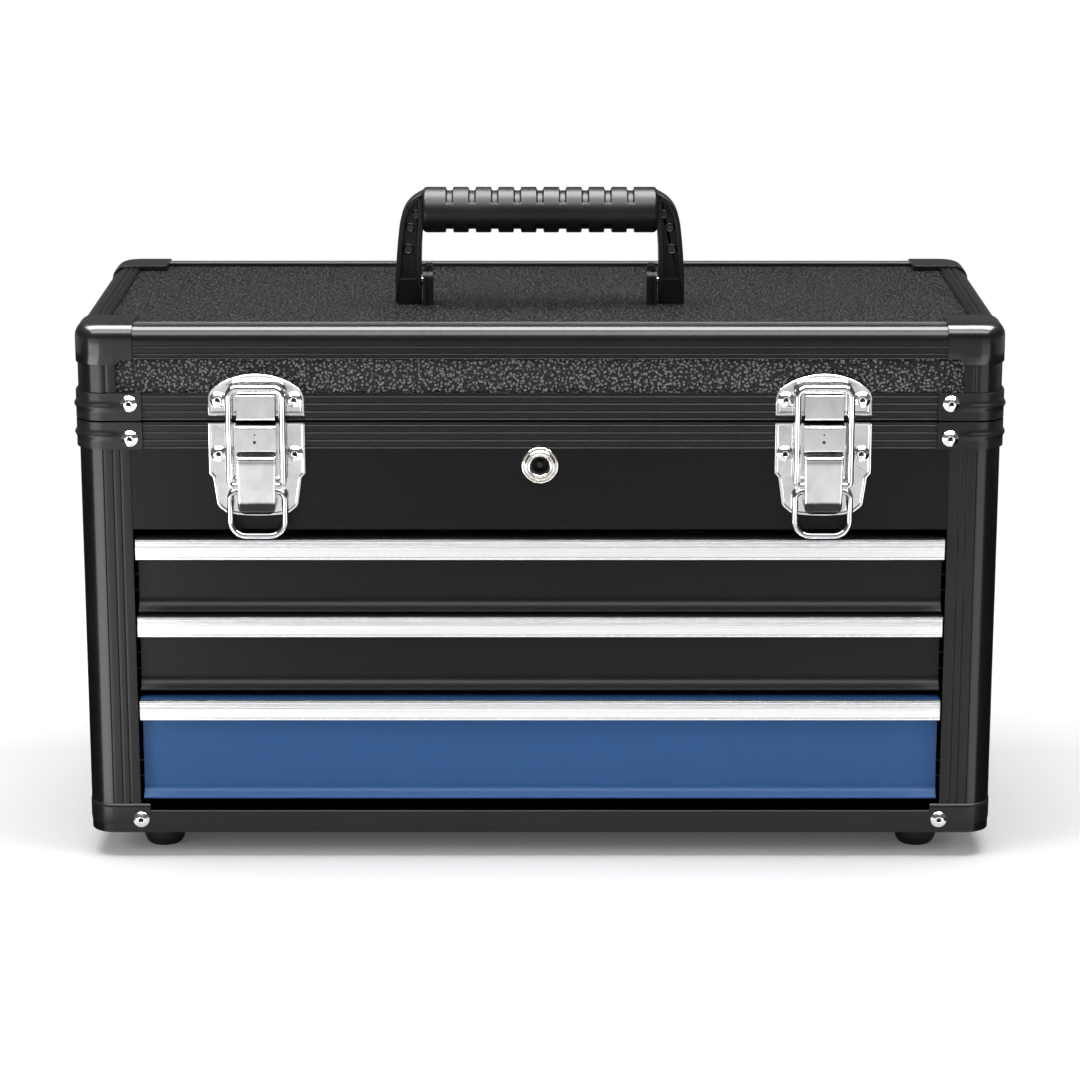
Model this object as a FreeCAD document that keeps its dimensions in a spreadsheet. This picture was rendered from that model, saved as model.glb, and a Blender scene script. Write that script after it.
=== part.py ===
import FreeCAD, Part
import math
import os
import Sketcher
from FreeCAD import Placement, Rotation, Vector

# Portable tool chest: a case with three drawers and a till, a hinged lid, two draw latches,
# a cam lock and a folding handle. Lengths are in millimetres. X runs to the right, Y runs
# to the back and Z runs up. The origin is on the floor, under the middle of the chest.

SIZES = {
    # chest as a whole
    "chest_width": 515.0,
    "chest_depth": 222.0,
    "foot_height": 15.0,
    "bottom_rail_height": 13.2,
    "upper_panel_height": 46.2,
    "rim_rail_height": 15.3,
    "parting_gap": 1.0,
    "lid_strip_height": 19.3,
    "top_rail_height": 17.9,
    "corner_radius": 14.0,
    "skin": 2.2,
    "board": 4.0,
    "sheet_metal": 1.2,
    "running_gap": 0.3,
    "slip_fit": 0.05,
    "overrun": 2.0,
    # fluted posts and grooved rails
    "post_reach": 29.6,
    "lid_post_reach": 22.5,
    "flute_depth": 0.7,
    "flute_width": 1.2,
    "rail_slot_depth": 6.0,
    "board_play": 0.1,
    "top_rail_reach": 16.0,
    "top_rail_rounding": 8.0,
    "bottom_rail_leg": 14.0,
    "bottom_rail_leg_wall": 1.6,
    # corner caps and straps
    "top_cap_reach": 32.0,
    "top_cap_height": 22.0,
    "top_cap_wing_height": 18.9,
    "top_cap_wall": 3.0,
    "top_cap_proud": 1.0,
    "bottom_cap_reach": 35.0,
    "bottom_cap_height": 17.4,
    "bottom_cap_proud": 0.4,
    "bottom_cap_fillet": 5.0,
    "strap_thickness": 1.5,
    "strap_reach": 36.6,
    "bead_depth": 1.1,
    "bead_height": 3.4,
    "bead_reach": 23.0,
    # blind rivets
    "rivet_head_radius": 4.65,
    "rivet_head_rim": 0.5,
    "rivet_head_height": 1.9,
    "rivet_dome_radius": 7.0,
    "rivet_shank_radius": 2.4,
    "rivet_bore_radius": 1.3,
    "rivet_inset": 29.6,
    "strap_rivet_rise": 9.6,
    "case_rivet_rise": 6.2,
    "cap_rivet_rise": 8.0,
    # feet and their screws
    "foot_radius": 12.4,
    "foot_base_radius": 8.8,
    "foot_edge": 5.0,
    "foot_edge_radius": 5.6,
    "foot_inset_x": 39.7,
    "foot_inset_y": 29.4,
    "foot_boss_radius": 4.2,
    "foot_sink_radius": 5.2,
    "foot_sink_depth": 6.0,
    "screw_radius": 2.0,
    "screw_head_radius": 4.2,
    "screw_head_height": 2.6,
    # upper front panel and till
    "panel_recess": 0.4,
    "panel_flange": 15.0,
    # drawers: heights, and the gap under each of them
    "bottom_drawer_gap": 6.9,
    "bottom_drawer_height": 60.3,
    "middle_drawer_gap": 4.0,
    "middle_drawer_height": 45.0,
    "top_drawer_gap": 0.8,
    "top_drawer_height": 44.1,
    "opening_head_gap": 4.7,
    "drawer_side_gap": 1.7,
    "drawer_panel_recess": 6.0,
    "drawer_lip_height": 1.2,
    "drawer_kick_height": 4.6,
    "drawer_kick_reach": 5.0,
    "pull_reach": 5.5,
    "pull_height": 11.8,
    "pull_wall": 2.2,
    "pull_clip": 4.5,
    "pull_groove_depth": 0.35,
    "pull_grip_lip": 1.6,
    "tray_wall": 1.0,
    "tray_top_drop": 4.5,
    "tray_floor_rise": 2.6,
    "tray_back_gap": 2.2,
    "tray_side_gap": 13.3,
    "runner_rise": 12.0,
    "runner_height": 7.4,
    "runner_reach": 12.0,
    "runner_end_gap": 4.0,
    "channel_wall": 1.2,
    "channel_play": 0.35,
    "channel_lip_gap": 0.6,
    # hinges
    "hinge_length": 60.0,
    "hinge_leaf": 1.6,
    "hinge_leaf_height": 14.0,
    "hinge_barrel_radius": 3.2,
    "hinge_pin_radius": 1.6,
    # lock
    "lock_rise": 36.9,
    "lock_flange_radius": 10.4,
    "lock_flange_height": 1.6,
    "lock_ring_radius": 8.6,
    "lock_ring_height": 2.8,
    "lock_body_radius": 8.0,
    "lock_plug_radius": 5.2,
    "lock_length": 22.0,
    "lock_clip_width": 20.0,
    "lock_clip_drop": 12.0,
    "lock_clip_rise": 6.0,
    "key_ring_outer": 4.2,
    "key_ring_inner": 2.6,
    "key_ring_depth": 4.0,
    "lock_edge": 0.6,
    "plug_recess": 1.2,
    "plug_tail_radius": 3.0,
    "cam_length": 20.0,
    "cam_width": 9.0,
    "cam_thickness": 2.0,
    "catch_width": 9.5,
    "catch_gap": 0.8,
    # draw latches
    "latch_width": 53.4,
    "latch_plate": 1.2,
    "latch_base_height": 52.0,
    "latch_shoulder_height": 29.0,
    "latch_waist_width": 49.2,
    "latch_toe_width": 44.8,
    "latch_toe_rise": 5.6,
    "latch_corner_radius": 6.0,
    "latch_toe_radius": 110.0,
    "latch_rivet_spacing": 42.2,
    "latch_base_rivet_drop": 17.6,
    "strike_rise": 3.0,
    "strike_side_height": 13.0,
    "strike_arch_radius": 39.6,
    "strike_rivet_rise": 9.0,
    "keeper_width": 21.2,
    "keeper_reach": 5.0,
    "keeper_drop": 2.2,
    "keeper_height": 14.4,
    "housing_width": 22.6,
    "housing_reach": 10.2,
    "housing_height": 14.8,
    "housing_rounding": 2.0,
    "lever_width": 22.0,
    "lever_pivot_drop": 20.6,
    "lever_pivot_reach": 6.0,
    "lever_pin_radius": 1.5,
    "lever_ear_radius": 2.6,
    "lever_top_rise": 3.4,
    "lever_top_rounding": 2.4,
    "lever_length": 34.6,
    "lever_nose": 8.0,
    "bail_wire_radius": 2.0,
    "bail_width": 33.8,
    "bail_plane_gap": 0.3,
    "bail_drop": 13.8,
    "bail_length": 55.3,
    "bail_corner": 5.0,
    "ring_wire_radius": 1.8,
    "ring_width": 34.2,
    "ring_drop": 17.9,
    "ring_plane_reach": 5.0,
    "ring_top_corner": 4.0,
    "ring_bottom_corner": 9.0,
    "ring_floor_gap": 0.6,
    # handle
    "handle_setback": 86.0,
    "handle_pivot_rise": 13.3,
    "grip_rise": 40.7,
    "grip_radius": 13.0,
    "grip_length": 133.8,
    "grip_chamfer": 2.4,
    "grip_notch_width": 3.8,
    "grip_notch_depth": 2.0,
    "grip_notch_pitch": 12.9,
    "arm_depth": 16.0,
    "arm_outer_reach": 82.6,
    "arm_inner_reach": 68.0,
    "arm_lean": 1.7,
    "arm_shoulder_radius": 24.0,
    "arm_shoulder_rise": 27.0,
    "arm_top_rise": 51.2,
    "arm_foot_drop": 12.3,
    "arm_rim": 3.0,
    "arm_pocket_depth": 4.0,
    "arm_hole_radius": 1.9,
    "arm_hole_rise": 18.8,
    "arm_hole_pitch": 12.4,
    "lug_gap": 1.0,
    "lug_thickness": 5.8,
    "lug_height": 20.2,
    "lug_rounding": 5.0,
    "handle_pin_radius": 3.0,
    "handle_pin_seat": 8.0,
}

# Places along a face, as shares of the named width or height beside them.
LATCH_SPACING_SHARE = 0.6113
HINGE_SPACING_SHARE = 0.5825
POST_FLUTE_SHARES = (0.48, 0.655, 0.79)
RIM_GROOVE_SHARES = (0.07, 0.35, 0.64, 0.93)
RIM_GROOVE_MOUTH_SHARE = 0.9
RIM_GROOVE_FLOOR_SHARE = 0.5
TOP_RAIL_GROOVE_SHARES = (0.58, 0.80, 0.94)
PULL_GROOVE_SHARES = (0.10, 0.26, 0.38, 0.50, 0.62, 0.74, 0.88)
ARM_HOLE_SHARES = ((0.0, 0.0), (0.1, 1.0), (0.4, 1.61))
GRIP_NOTCH_COUNT = 9
GRIP_NOTCH_ANGLE = 110

document = FreeCAD.newDocument("tool_chest")
sheet = document.addObject("Spreadsheet::Sheet", "Sizes")


class Length:
    """A length as a number, with the sheet's expression that gives it."""

    def __init__(self, number, text):
        self.number = number
        self.text = text

    def __add__(self, other):
        return Length(self.number + number_of(other), f"({self.text} + {text_of(other)})")

    def __sub__(self, other):
        return Length(self.number - number_of(other), f"({self.text} - {text_of(other)})")

    def __mul__(self, share):
        return Length(self.number * share, f"{self.text} * {text_of(share)}")

    def __truediv__(self, share):
        return Length(self.number / share, f"{self.text} / {text_of(share)}")

    def __neg__(self):
        return Length(-self.number, f"(-1 * {self.text})")

    def __rsub__(self, other):
        return -self + other

    __radd__ = __add__


class Values:
    """The named sizes, each as a Length."""


def number_of(term):
    return term.number if isinstance(term, Length) else float(term)


def text_of(term):
    return term.text if isinstance(term, Length) else f"({term:.9g})"


def fill_sheet():
    values = Values()
    for row, (alias, value) in enumerate(SIZES.items(), start=1):
        sheet.set(f"A{row}", alias)
        sheet.set(f"B{row}", str(value))
        sheet.setAlias(f"B{row}", alias)
        setattr(values, alias, Length(value, f"Sizes.{alias}"))
    document.recompute()
    return values


size = fill_sheet()

# Turns that carry the upward axis of a piece to another direction.
UPRIGHT = Rotation()
TO_THE_RIGHT = Rotation(Vector(0, 1, 0), 90)
TO_THE_LEFT = Rotation(Vector(0, 1, 0), -90)
TO_THE_FRONT = Rotation(Vector(1, 0, 0), 90)


def about_z(degrees):
    return Rotation(Vector(0, 0, 1), degrees)


# Building blocks shared by all pieces

def bind(thing, name, length):
    thing.setExpression(name, text_of(length))


def place(thing, x=0, y=0, z=0, turn=UPRIGHT):
    thing.Placement = Placement(Vector(number_of(x), number_of(y), number_of(z)), turn)
    for axis, length in zip("xyz", (x, y, z)):
        if isinstance(length, Length):
            bind(thing, f"Placement.Base.{axis}", length)
    return thing


def block(name, x_span, y_span, z_span):
    box = document.addObject("Part::Box", name)
    for side, span in zip(("Length", "Width", "Height"), (x_span, y_span, z_span)):
        bind(box, side, span[1] - span[0])
    return place(box, x_span[0], y_span[0], z_span[0])


def rod(name, radius, length, x, y, z, turn=UPRIGHT):
    cylinder = document.addObject("Part::Cylinder", name)
    bind(cylinder, "Radius", radius)
    bind(cylinder, "Height", length)
    return place(cylinder, x, y, z, turn)


def copy_of(master, x=0, y=0, z=0, turn=UPRIGHT):
    link = document.addObject("App::Link", f"{master.Name}_copy")
    link.LinkedObject = master
    return place(link, x, y, z, turn)


def group(name, members):
    compound = document.addObject("Part::Compound", name)
    compound.Links = members
    return compound


def cut(name, base, tools):
    result = document.addObject("Part::Cut", name)
    result.Base = base
    result.Tool = tools[0] if len(tools) == 1 else group(f"{name}_tools", tools)
    return result


def fuse(name, members):
    result = document.addObject("Part::MultiFuse", name)
    result.Shapes = members
    return result


def new_body(name):
    return document.addObject("PartDesign::Body", name)


def sketch_on(body, role, start=0):
    """A sketch on an origin plane of the body, moved along the plane's axis to start."""
    sketch = body.newObject("Sketcher::SketchObject", f"{body.Name}_sketch")
    plane = next(f for f in body.Origin.OriginFeatures if f.Role == role)
    sketch.AttachmentSupport = (plane, [""])
    sketch.MapMode = "FlatFace"
    if isinstance(start, Length):
        offset = -start if role == "XZ_Plane" else start
        sketch.AttachmentOffset = Placement(Vector(0, 0, offset.number), Rotation())
        bind(sketch, "AttachmentOffset.Base.z", offset)
    return sketch


def arc_between(first, last, radius):
    """A short arc; a positive radius turns left on the way, a negative one turns right."""
    middle = (first + last) * 0.5
    chord = last - first
    left = Vector(-chord.y, chord.x, 0).normalize()
    rise = math.sqrt(max(radius * radius - chord.Length ** 2 / 4, 0))
    centre = middle + left * (rise if radius > 0 else -rise)
    start, end = (first, last) if radius > 0 else (last, first)
    angles = [math.atan2(point.y - centre.y, point.x - centre.x) for point in (start, end)]
    circle = Part.Circle(centre, Vector(0, 0, 1), abs(radius))
    return Part.ArcOfCircle(circle, angles[0], angles[1])


def fix(sketch, kind, places, length):
    index = sketch.addConstraint(Sketcher.Constraint(kind, *places, number_of(length)))
    if isinstance(length, Length):
        bind(sketch, f"Constraints[{index}]", length)


def draw(sketch, outline):
    """A closed outline. A point with a third value is reached by an arc of that radius."""
    points = [Vector(number_of(point[0]), number_of(point[1]), 0) for point in outline]
    edges = []
    for index, point in enumerate(outline):
        first, last = points[index - 1], points[index]
        if len(point) == 2:
            edges.append((sketch.addGeometry(Part.LineSegment(first, last)), 1, 2))
            continue
        radius = number_of(point[2])
        curve = sketch.addGeometry(arc_between(first, last, radius))
        edges.append((curve, 1, 2) if radius > 0 else (curve, 2, 1))
        fix(sketch, "Radius", (curve,), point[2] if radius > 0 else -point[2])
    for index, (edge, _, end) in enumerate(edges):
        following, start, _ = edges[(index + 1) % len(edges)]
        sketch.addConstraint(Sketcher.Constraint("Coincident", edge, end, following, start))
        fix(sketch, "DistanceX", (-1, 1, edge, end), outline[index][0])
        fix(sketch, "DistanceY", (-1, 1, edge, end), outline[index][1])


def draw_circle(sketch, x, y, radius):
    centre = Vector(number_of(x), number_of(y), 0)
    circle = sketch.addGeometry(Part.Circle(centre, Vector(0, 0, 1), number_of(radius)))
    fix(sketch, "Radius", (circle,), radius)
    fix(sketch, "DistanceX", (-1, 1, circle, 3), x)
    fix(sketch, "DistanceY", (-1, 1, circle, 3), y)


def draw_all(sketch, outlines, circles):
    for outline in outlines:
        draw(sketch, outline)
    for circle in circles:
        draw_circle(sketch, *circle)


def extrude(body, role, outlines, start, length, circles=()):
    """Adds a solid from start, length long, towards +Z, +Y or +X."""
    sketch = sketch_on(body, role, start)
    draw_all(sketch, outlines, circles)
    pad = body.newObject("PartDesign::Pad", f"{body.Name}_pad")
    pad.Profile = sketch
    pad.Reversed = role == "XZ_Plane"
    bind(pad, "Length", length)
    return pad


def carve(body, role, outlines, start, length, circles=()):
    """Takes a solid away from start, length long, towards +Z, +Y or +X."""
    sketch = sketch_on(body, role, start)
    draw_all(sketch, outlines, circles)
    pocket = body.newObject("PartDesign::Pocket", f"{body.Name}_pocket")
    pocket.Profile = sketch
    pocket.Reversed = role != "XZ_Plane"
    bind(pocket, "Length", length)
    return pocket


def prism(name, role, outline, start, length, circles=()):
    body = new_body(name)
    extrude(body, role, [outline], start, length, circles)
    return body


def turned(name, outline, axis="V_Axis"):
    """A turned piece; the outline gives radius and height, or place and radius on H_Axis."""
    body = new_body(name)
    sketch = sketch_on(body, "XZ_Plane")
    draw(sketch, outline)
    revolution = body.newObject("PartDesign::Revolution", f"{name}_turn")
    revolution.Profile = sketch
    revolution.ReferenceAxis = (sketch, [axis])
    revolution.Angle = 360
    return body


def edges_at(shape, wanted):
    """Names of the edges whose middle passes the test."""
    names = []
    for index, edge in enumerate(shape.Edges, start=1):
        middle = edge.valueAt((edge.FirstParameter + edge.LastParameter) / 2)
        if wanted(middle):
            names.append(f"Edge{index}")
    return names


def round_edges(body, base, wanted, radius):
    document.recompute()
    fillet = body.newObject("PartDesign::Fillet", f"{body.Name}_fillet")
    fillet.Base = (base, edges_at(base.Shape, wanted))
    bind(fillet, "Radius", radius)
    return fillet


def rectangle(x0, x1, y0, y1):
    return [(x0, y0), (x1, y0), (x1, y1), (x0, y1)]


def rounded_rectangle(x0, x1, y0, y1, radius):
    return [
        (x0 + radius, y0, radius), (x1 - radius, y0),
        (x1, y0 + radius, radius), (x1, y1 - radius),
        (x1 - radius, y1, radius), (x0 + radius, y1),
        (x0, y1 - radius, radius), (x0, y0 + radius),
    ]


# Main planes of the chest

left = -size.chest_width / 2
right = size.chest_width / 2
hinge_reach = size.hinge_barrel_radius * 2 + size.running_gap
latch_reach = size.latch_plate + size.housing_reach
front = (latch_reach - hinge_reach - size.chest_depth) / 2
rear = front + size.chest_depth
case_bottom = size.foot_height
opening_bottom = case_bottom + size.bottom_rail_height
bottom_drawer_low = opening_bottom + size.bottom_drawer_gap
middle_drawer_low = bottom_drawer_low + size.bottom_drawer_height + size.middle_drawer_gap
top_drawer_low = middle_drawer_low + size.middle_drawer_height + size.top_drawer_gap
opening_top = top_drawer_low + size.top_drawer_height + size.opening_head_gap
latch_centre = size.chest_width * LATCH_SPACING_SHARE / 2
hinge_centre = size.chest_width * HINGE_SPACING_SHARE / 2
rim_bottom = opening_top + size.upper_panel_height
rim_top = rim_bottom + size.rim_rail_height
lid_bottom = rim_top + size.parting_gap
lid_rim_top = lid_bottom + size.rim_rail_height
lid_top = lid_rim_top + size.lid_strip_height + size.top_rail_height
inner_face = size.skin + size.board
floor_level = case_bottom + size.bottom_rail_leg_wall
board_bottom = floor_level + size.sheet_metal
opening_half = size.chest_width / 2 - size.post_reach
rail_depth = size.skin * 2 + size.board + size.board_play
CORNERS = ((left, front, 0), (right, front, 90), (right, rear, 180), (left, rear, 270))

nodes = []


def node(label, thing):
    thing.Label = label
    nodes.append(thing)
    return thing


def corner_point(corner, along, across):
    """The place that lies along one wall and across it from a corner of the chest."""
    x, y, turn = corner
    if turn == 0:
        return x + along, y + across
    if turn == 90:
        return x - across, y + along
    if turn == 180:
        return x - along, y - across
    return x + across, y - along


def around(masters, level, proud=0):
    """Copies of one or two masters at the four corners, each turned to face outwards."""
    copies = []
    for index, corner in enumerate(CORNERS):
        x, y = corner_point(corner, -proud, -proud)
        copies.append(copy_of(masters[index % len(masters)], x, y, level, about_z(corner[2])))
    return copies


# Corner pieces: skins that wrap one vertical corner

def corner_outline(radius, reach, wall, notch=None):
    """A right-angled skin with a rounded outer corner at the origin."""
    outer = notch("along", reach) if notch else []
    side = notch("across", reach) if notch else []
    return (
        [(radius, 0, radius)] + outer
        + [(reach, 0), (reach, wall), (radius, wall), (wall, radius, wall - radius)]
        + [(wall, reach), (0, reach)] + side + [(0, radius)]
    )


def flutes(direction, reach):
    """Square grooves across the outer face of a post, on either leg."""
    points = []
    shares = POST_FLUTE_SHARES if direction == "along" else POST_FLUTE_SHARES[::-1]
    for share in shares:
        near = reach * share
        far = near + size.flute_width
        if direction == "along":
            points += [(near, 0), (near, size.flute_depth), (far, size.flute_depth), (far, 0)]
        else:
            points += [(0, far), (size.flute_depth, far), (size.flute_depth, near), (0, near)]
    return points


def post_master(name, reach, height, notch):
    outline = corner_outline(size.corner_radius, reach, size.skin, notch)
    return prism(name, "XY_Plane", outline, 0, height)


def make_posts():
    low = case_bottom + size.bottom_cap_height
    master = post_master("case_post", size.post_reach, rim_bottom - low, flutes)
    copies = around([master], low)
    node("front_left_post", group("post_fl", [copies[0]]))
    node("front_right_post", group("post_fr", [copies[1]]))
    node("rear_posts", group("post_rear", copies[2:]))
    high = lid_top + size.top_cap_proud - size.top_cap_height
    lid_master = post_master("lid_post", size.lid_post_reach, high - lid_rim_top, lid_flutes)
    node("lid_corner_posts", group("lid_posts", around([lid_master], lid_rim_top)))


def lid_flutes(direction, reach):
    """One wide groove on each leg of the short lid post."""
    near = size.corner_radius + size.flute_width
    far = near + size.flute_width * 2
    if direction == "along":
        return [(near, 0), (near, size.flute_depth), (far, size.flute_depth), (far, 0)]
    return [(0, far), (size.flute_depth, far), (size.flute_depth, near), (0, near)]


def strap_master():
    radius = size.corner_radius + size.strap_thickness
    reach = size.strap_reach + size.strap_thickness
    body = new_body("strap")
    outline = corner_outline(radius, reach, size.strap_thickness)
    extrude(body, "XY_Plane", [outline], 0, size.rim_rail_height)
    depth = size.bead_depth
    arm = size.bead_reach + size.strap_thickness
    half = size.strap_thickness / 2
    bead = [
        (radius, -depth, radius + depth), (arm - depth, -depth), (arm, half),
        (radius, half), (half, radius, half - radius),
        (half, arm), (-depth, arm - depth), (-depth, radius),
    ]
    start = (size.rim_rail_height - size.bead_height) / 2
    extrude(body, "XY_Plane", [bead], start, size.bead_height)
    return body


def top_cap_master():
    """Moulded cap over a top corner of the lid, with its top face at local zero."""
    radius = size.corner_radius + size.top_cap_proud
    reach = size.top_cap_reach + size.top_cap_proud
    wing = size.lid_post_reach + size.top_cap_proud
    wall = size.top_cap_wall
    low = -size.top_cap_height
    body = new_body("top_cap")
    block_outline = [
        (radius, 0, radius), (reach, 0), (reach, reach), (0, reach), (0, radius),
    ]
    pad = extrude(body, "XY_Plane", [block_outline], low, size.top_cap_height)
    rounding = round_edges(body, pad, lambda p: abs(p.z) < 0.01 and min(p.x, p.y) < radius.number
                           and max(p.x, p.y) < reach.number - 0.01, size.top_rail_rounding)
    inner = [
        (radius, wall, radius - wall), (reach + wall, wall),
        (reach + wall, reach + wall), (wall, reach + wall), (wall, radius),
    ]
    carve(body, "XY_Plane", [inner], low - wall, size.top_cap_height)
    drop = size.top_cap_height - size.top_cap_wing_height
    over = size.overrun
    for outline in (rectangle(wing, reach + over, -over, reach + over),
                    rectangle(-over, wing, wing, reach + over)):
        carve(body, "XY_Plane", [outline], low - over, drop + over)
    return body


def bottom_cap_master():
    """Cap round a bottom corner of the case, with its underside at local zero."""
    proud = size.bottom_cap_proud
    radius = size.corner_radius + proud
    reach = size.bottom_cap_reach + proud
    wall = size.skin + proud
    body = new_body("bottom_cap")
    outline = [(radius, 0, radius), (reach, 0), (reach, reach), (0, reach), (0, radius)]
    pad = extrude(body, "XY_Plane", [outline], 0, size.bottom_cap_height)
    round_edges(body, pad, lambda p: abs(p.z) < 0.01 and min(p.x, p.y) < radius.number
                and max(p.x, p.y) < reach.number - 0.01, size.bottom_cap_fillet)
    inner = [
        (radius, wall, radius - wall), (reach + wall, wall),
        (reach + wall, reach + wall), (wall, reach + wall), (wall, radius),
    ]
    carve(body, "XY_Plane", [inner], size.bottom_rail_leg_wall, size.bottom_cap_height)
    return body


# Rails along the four edges

def mitred(body, length, depth, height, low=0):
    """Cuts both ends of a rail to the rounded corner and then along the diagonal."""
    radius = size.corner_radius
    over = size.overrun
    turn = radius * (1 - math.cos(math.pi / 4))
    near = [
        (-over, -over), (radius, -over), (radius, 0),
        (turn, turn, -radius), (depth + over, depth + over), (-over, depth + over),
    ]
    far = [
        (length + over, -over), (length + over, depth + over),
        (length - depth - over, depth + over), (length - turn, turn),
        (length - radius, 0, -radius), (length - radius, -over),
    ]
    carve(body, "XY_Plane", [near, far], low - over, height + over * 2)
    return body


def rim_profile(height, flipped):
    """Grooved rail with a slot for the board; flipped puts the slot on top."""
    wall = size.skin
    slot_far = rail_depth - wall
    deep = size.rail_slot_depth
    points = [(rail_depth, 0), (rail_depth, height), (0, height)]
    for share in RIM_GROOVE_SHARES[::-1]:
        middle = height * share
        half = size.flute_width / 2
        mouth = half * RIM_GROOVE_MOUTH_SHARE
        floor = half * RIM_GROOVE_FLOOR_SHARE
        points += [
            (0, middle + mouth), (size.flute_depth, middle + floor),
            (size.flute_depth, middle - floor), (0, middle - mouth),
        ]
    points += [(0, 0), (wall, 0), (wall, deep), (slot_far, deep), (slot_far, 0)]
    if not flipped:
        return points
    return [(point[0], height - point[1]) for point in points[::-1]]


def rim_rails(prefix, flipped, level, length_of_sides):
    masters = []
    for side, length in zip(("long", "short"), length_of_sides):
        body = new_body(f"{prefix}_rim_{side}")
        profile = rim_profile(size.rim_rail_height, flipped)
        extrude(body, "YZ_Plane", [profile], 0, length)
        masters.append(mitred(body, length, rail_depth, size.rim_rail_height))
    return around(masters, level)


def top_rail_profile():
    """Angle over the lid's top edge; its outer corner is rounded, both faces are grooved."""
    reach = size.top_rail_reach
    tall = size.top_rail_height
    bend = size.top_rail_rounding
    wall = size.skin
    points = [(0, -tall), (wall, -tall), (wall, -bend), (bend, -wall, wall - bend)]
    points += [(reach, -wall), (reach, 0)]
    for share in TOP_RAIL_GROOVE_SHARES[::-1]:
        near = reach * share
        points += [(near + size.flute_width / 2, 0), (near, -size.flute_depth / 2)]
        points += [(near - size.flute_width / 2, 0)]
    points += [(bend, 0), (0, -bend, bend)]
    for share in TOP_RAIL_GROOVE_SHARES:
        near = -tall * share
        points += [(0, near + size.flute_width / 2), (size.flute_depth / 2, near)]
        points += [(0, near - size.flute_width / 2)]
    return points


def bottom_rail_profile():
    wall = size.skin
    leg = size.bottom_rail_leg_wall
    return [
        (0, 0), (size.bottom_rail_leg, 0), (size.bottom_rail_leg, leg), (wall, leg),
        (wall, size.bottom_rail_height), (0, size.bottom_rail_height),
    ]


def straight_rails(prefix, profile, cap_reach, level):
    masters = []
    for side, length in (("long", size.chest_width), ("short", size.chest_depth)):
        name = f"{prefix}_{side}"
        masters.append(prism(name, "YZ_Plane", profile, cap_reach, length - cap_reach * 2))
    return around(masters, level)


# Blind rivets, with the drills for their holes

def rivet_master(name, grip):
    bore = size.rivet_bore_radius
    shank = size.rivet_shank_radius
    head = size.rivet_head_radius
    return turned(name, [
        (bore, -grip), (shank, -grip), (shank, 0), (head, 0), (head, size.rivet_head_rim),
        (bore, size.rivet_head_height, size.rivet_dome_radius),
    ])


def drill_master(name, radius, depth):
    wide = radius + size.slip_fit
    return turned(name, [(0, -depth), (wide, -depth), (wide, size.overrun), (0, size.overrun)])


def set_rivets(name, spots, grip):
    """Copies of a rivet, and of its drill, at places given as x, y, z and turn."""
    rivet = rivet_master(f"{name}_rivet", grip)
    drill = drill_master(f"{name}_drill", size.rivet_shank_radius, grip)
    rivets = [copy_of(rivet, *spot) for spot in spots]
    drills = [copy_of(drill, *spot) for spot in spots]
    return rivets, group(f"{name}_drills", drills)


def corner_spots(inset, proud, level):
    """One place on either wall of each corner, facing outwards."""
    spots = []
    for corner in CORNERS:
        turn = about_z(corner[2])
        x, y = corner_point(corner, inset, -proud)
        spots.append((x, y, level, turn * TO_THE_FRONT))
        x, y = corner_point(corner, -proud, inset)
        spots.append((x, y, level, turn * TO_THE_LEFT))
    return spots


def latch_spots(level):
    spots = []
    for side in (-1, 1):
        for end in (-1, 1):
            x = latch_centre * side + size.latch_rivet_spacing / 2 * end
            spots.append((x, front - size.latch_plate, level, TO_THE_FRONT))
    return spots


# Case: boards, sheets, rails and what joins them

def make_case():
    board_top = rim_bottom + size.rail_slot_depth - size.running_gap
    y_span = (front + size.corner_radius, rear - size.corner_radius)
    x_span = (left + size.corner_radius, right - size.corner_radius)
    z_span = (board_bottom, board_top)
    node("base_left_panel", block("left_board", (left + size.skin, left + inner_face),
                                  y_span, z_span))
    node("base_right_panel", block("right_board", (right - inner_face, right - size.skin),
                                   y_span, z_span))
    node("base_back_panel", block("back_board", x_span,
                                  (rear - inner_face, rear - size.skin), z_span))
    floor_holes = []
    for x, y, _ in foot_places():
        floor_holes.append((x, y, size.screw_radius + size.slip_fit))
    floor_outline = rounded_rectangle(left + size.skin, right - size.skin, front + size.skin,
                                      rear - size.skin, size.corner_radius - size.skin)
    node("base_bottom_panel", prism("floor", "XY_Plane", floor_outline, floor_level,
                                    size.sheet_metal, floor_holes))
    node("till_floor", block("till", (left + inner_face, right - inner_face),
                             (front + inner_face, rear - inner_face),
                             (opening_top + size.sheet_metal,
                              opening_top + size.sheet_metal * 2)))


def make_upper_front_panel(latch_drills):
    """Folded sheet: a flange under the till, the face, and a joggle into the rim rail."""
    wall = size.sheet_metal
    face = front + size.panel_recess
    slot = front + size.skin + size.slip_fit
    bend = rim_bottom - size.slip_fit
    top = rim_bottom + size.rail_slot_depth - size.running_gap
    flange = front + size.panel_flange
    outline = [
        (face, opening_top), (flange, opening_top), (flange, opening_top + wall),
        (face + wall, opening_top + wall), (face + wall, bend - wall),
        (slot + wall, bend - wall), (slot + wall, top), (slot, top), (slot, bend), (face, bend),
    ]
    body = new_body("upper_front")
    extrude(body, "YZ_Plane", [outline], -opening_half, opening_half * 2)
    lock_hole = (0, lock_level, size.lock_body_radius + size.slip_fit)
    carve(body, "XZ_Plane", [], front, size.skin, [lock_hole])
    node("upper_front_panel", cut("upper_front_drilled", body, [latch_drills]))


def foot_places():
    places = []
    for x in (left + size.foot_inset_x, right - size.foot_inset_x):
        for y in (front + size.foot_inset_y, rear - size.foot_inset_y):
            places.append((x, y, 0))
    return places


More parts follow.
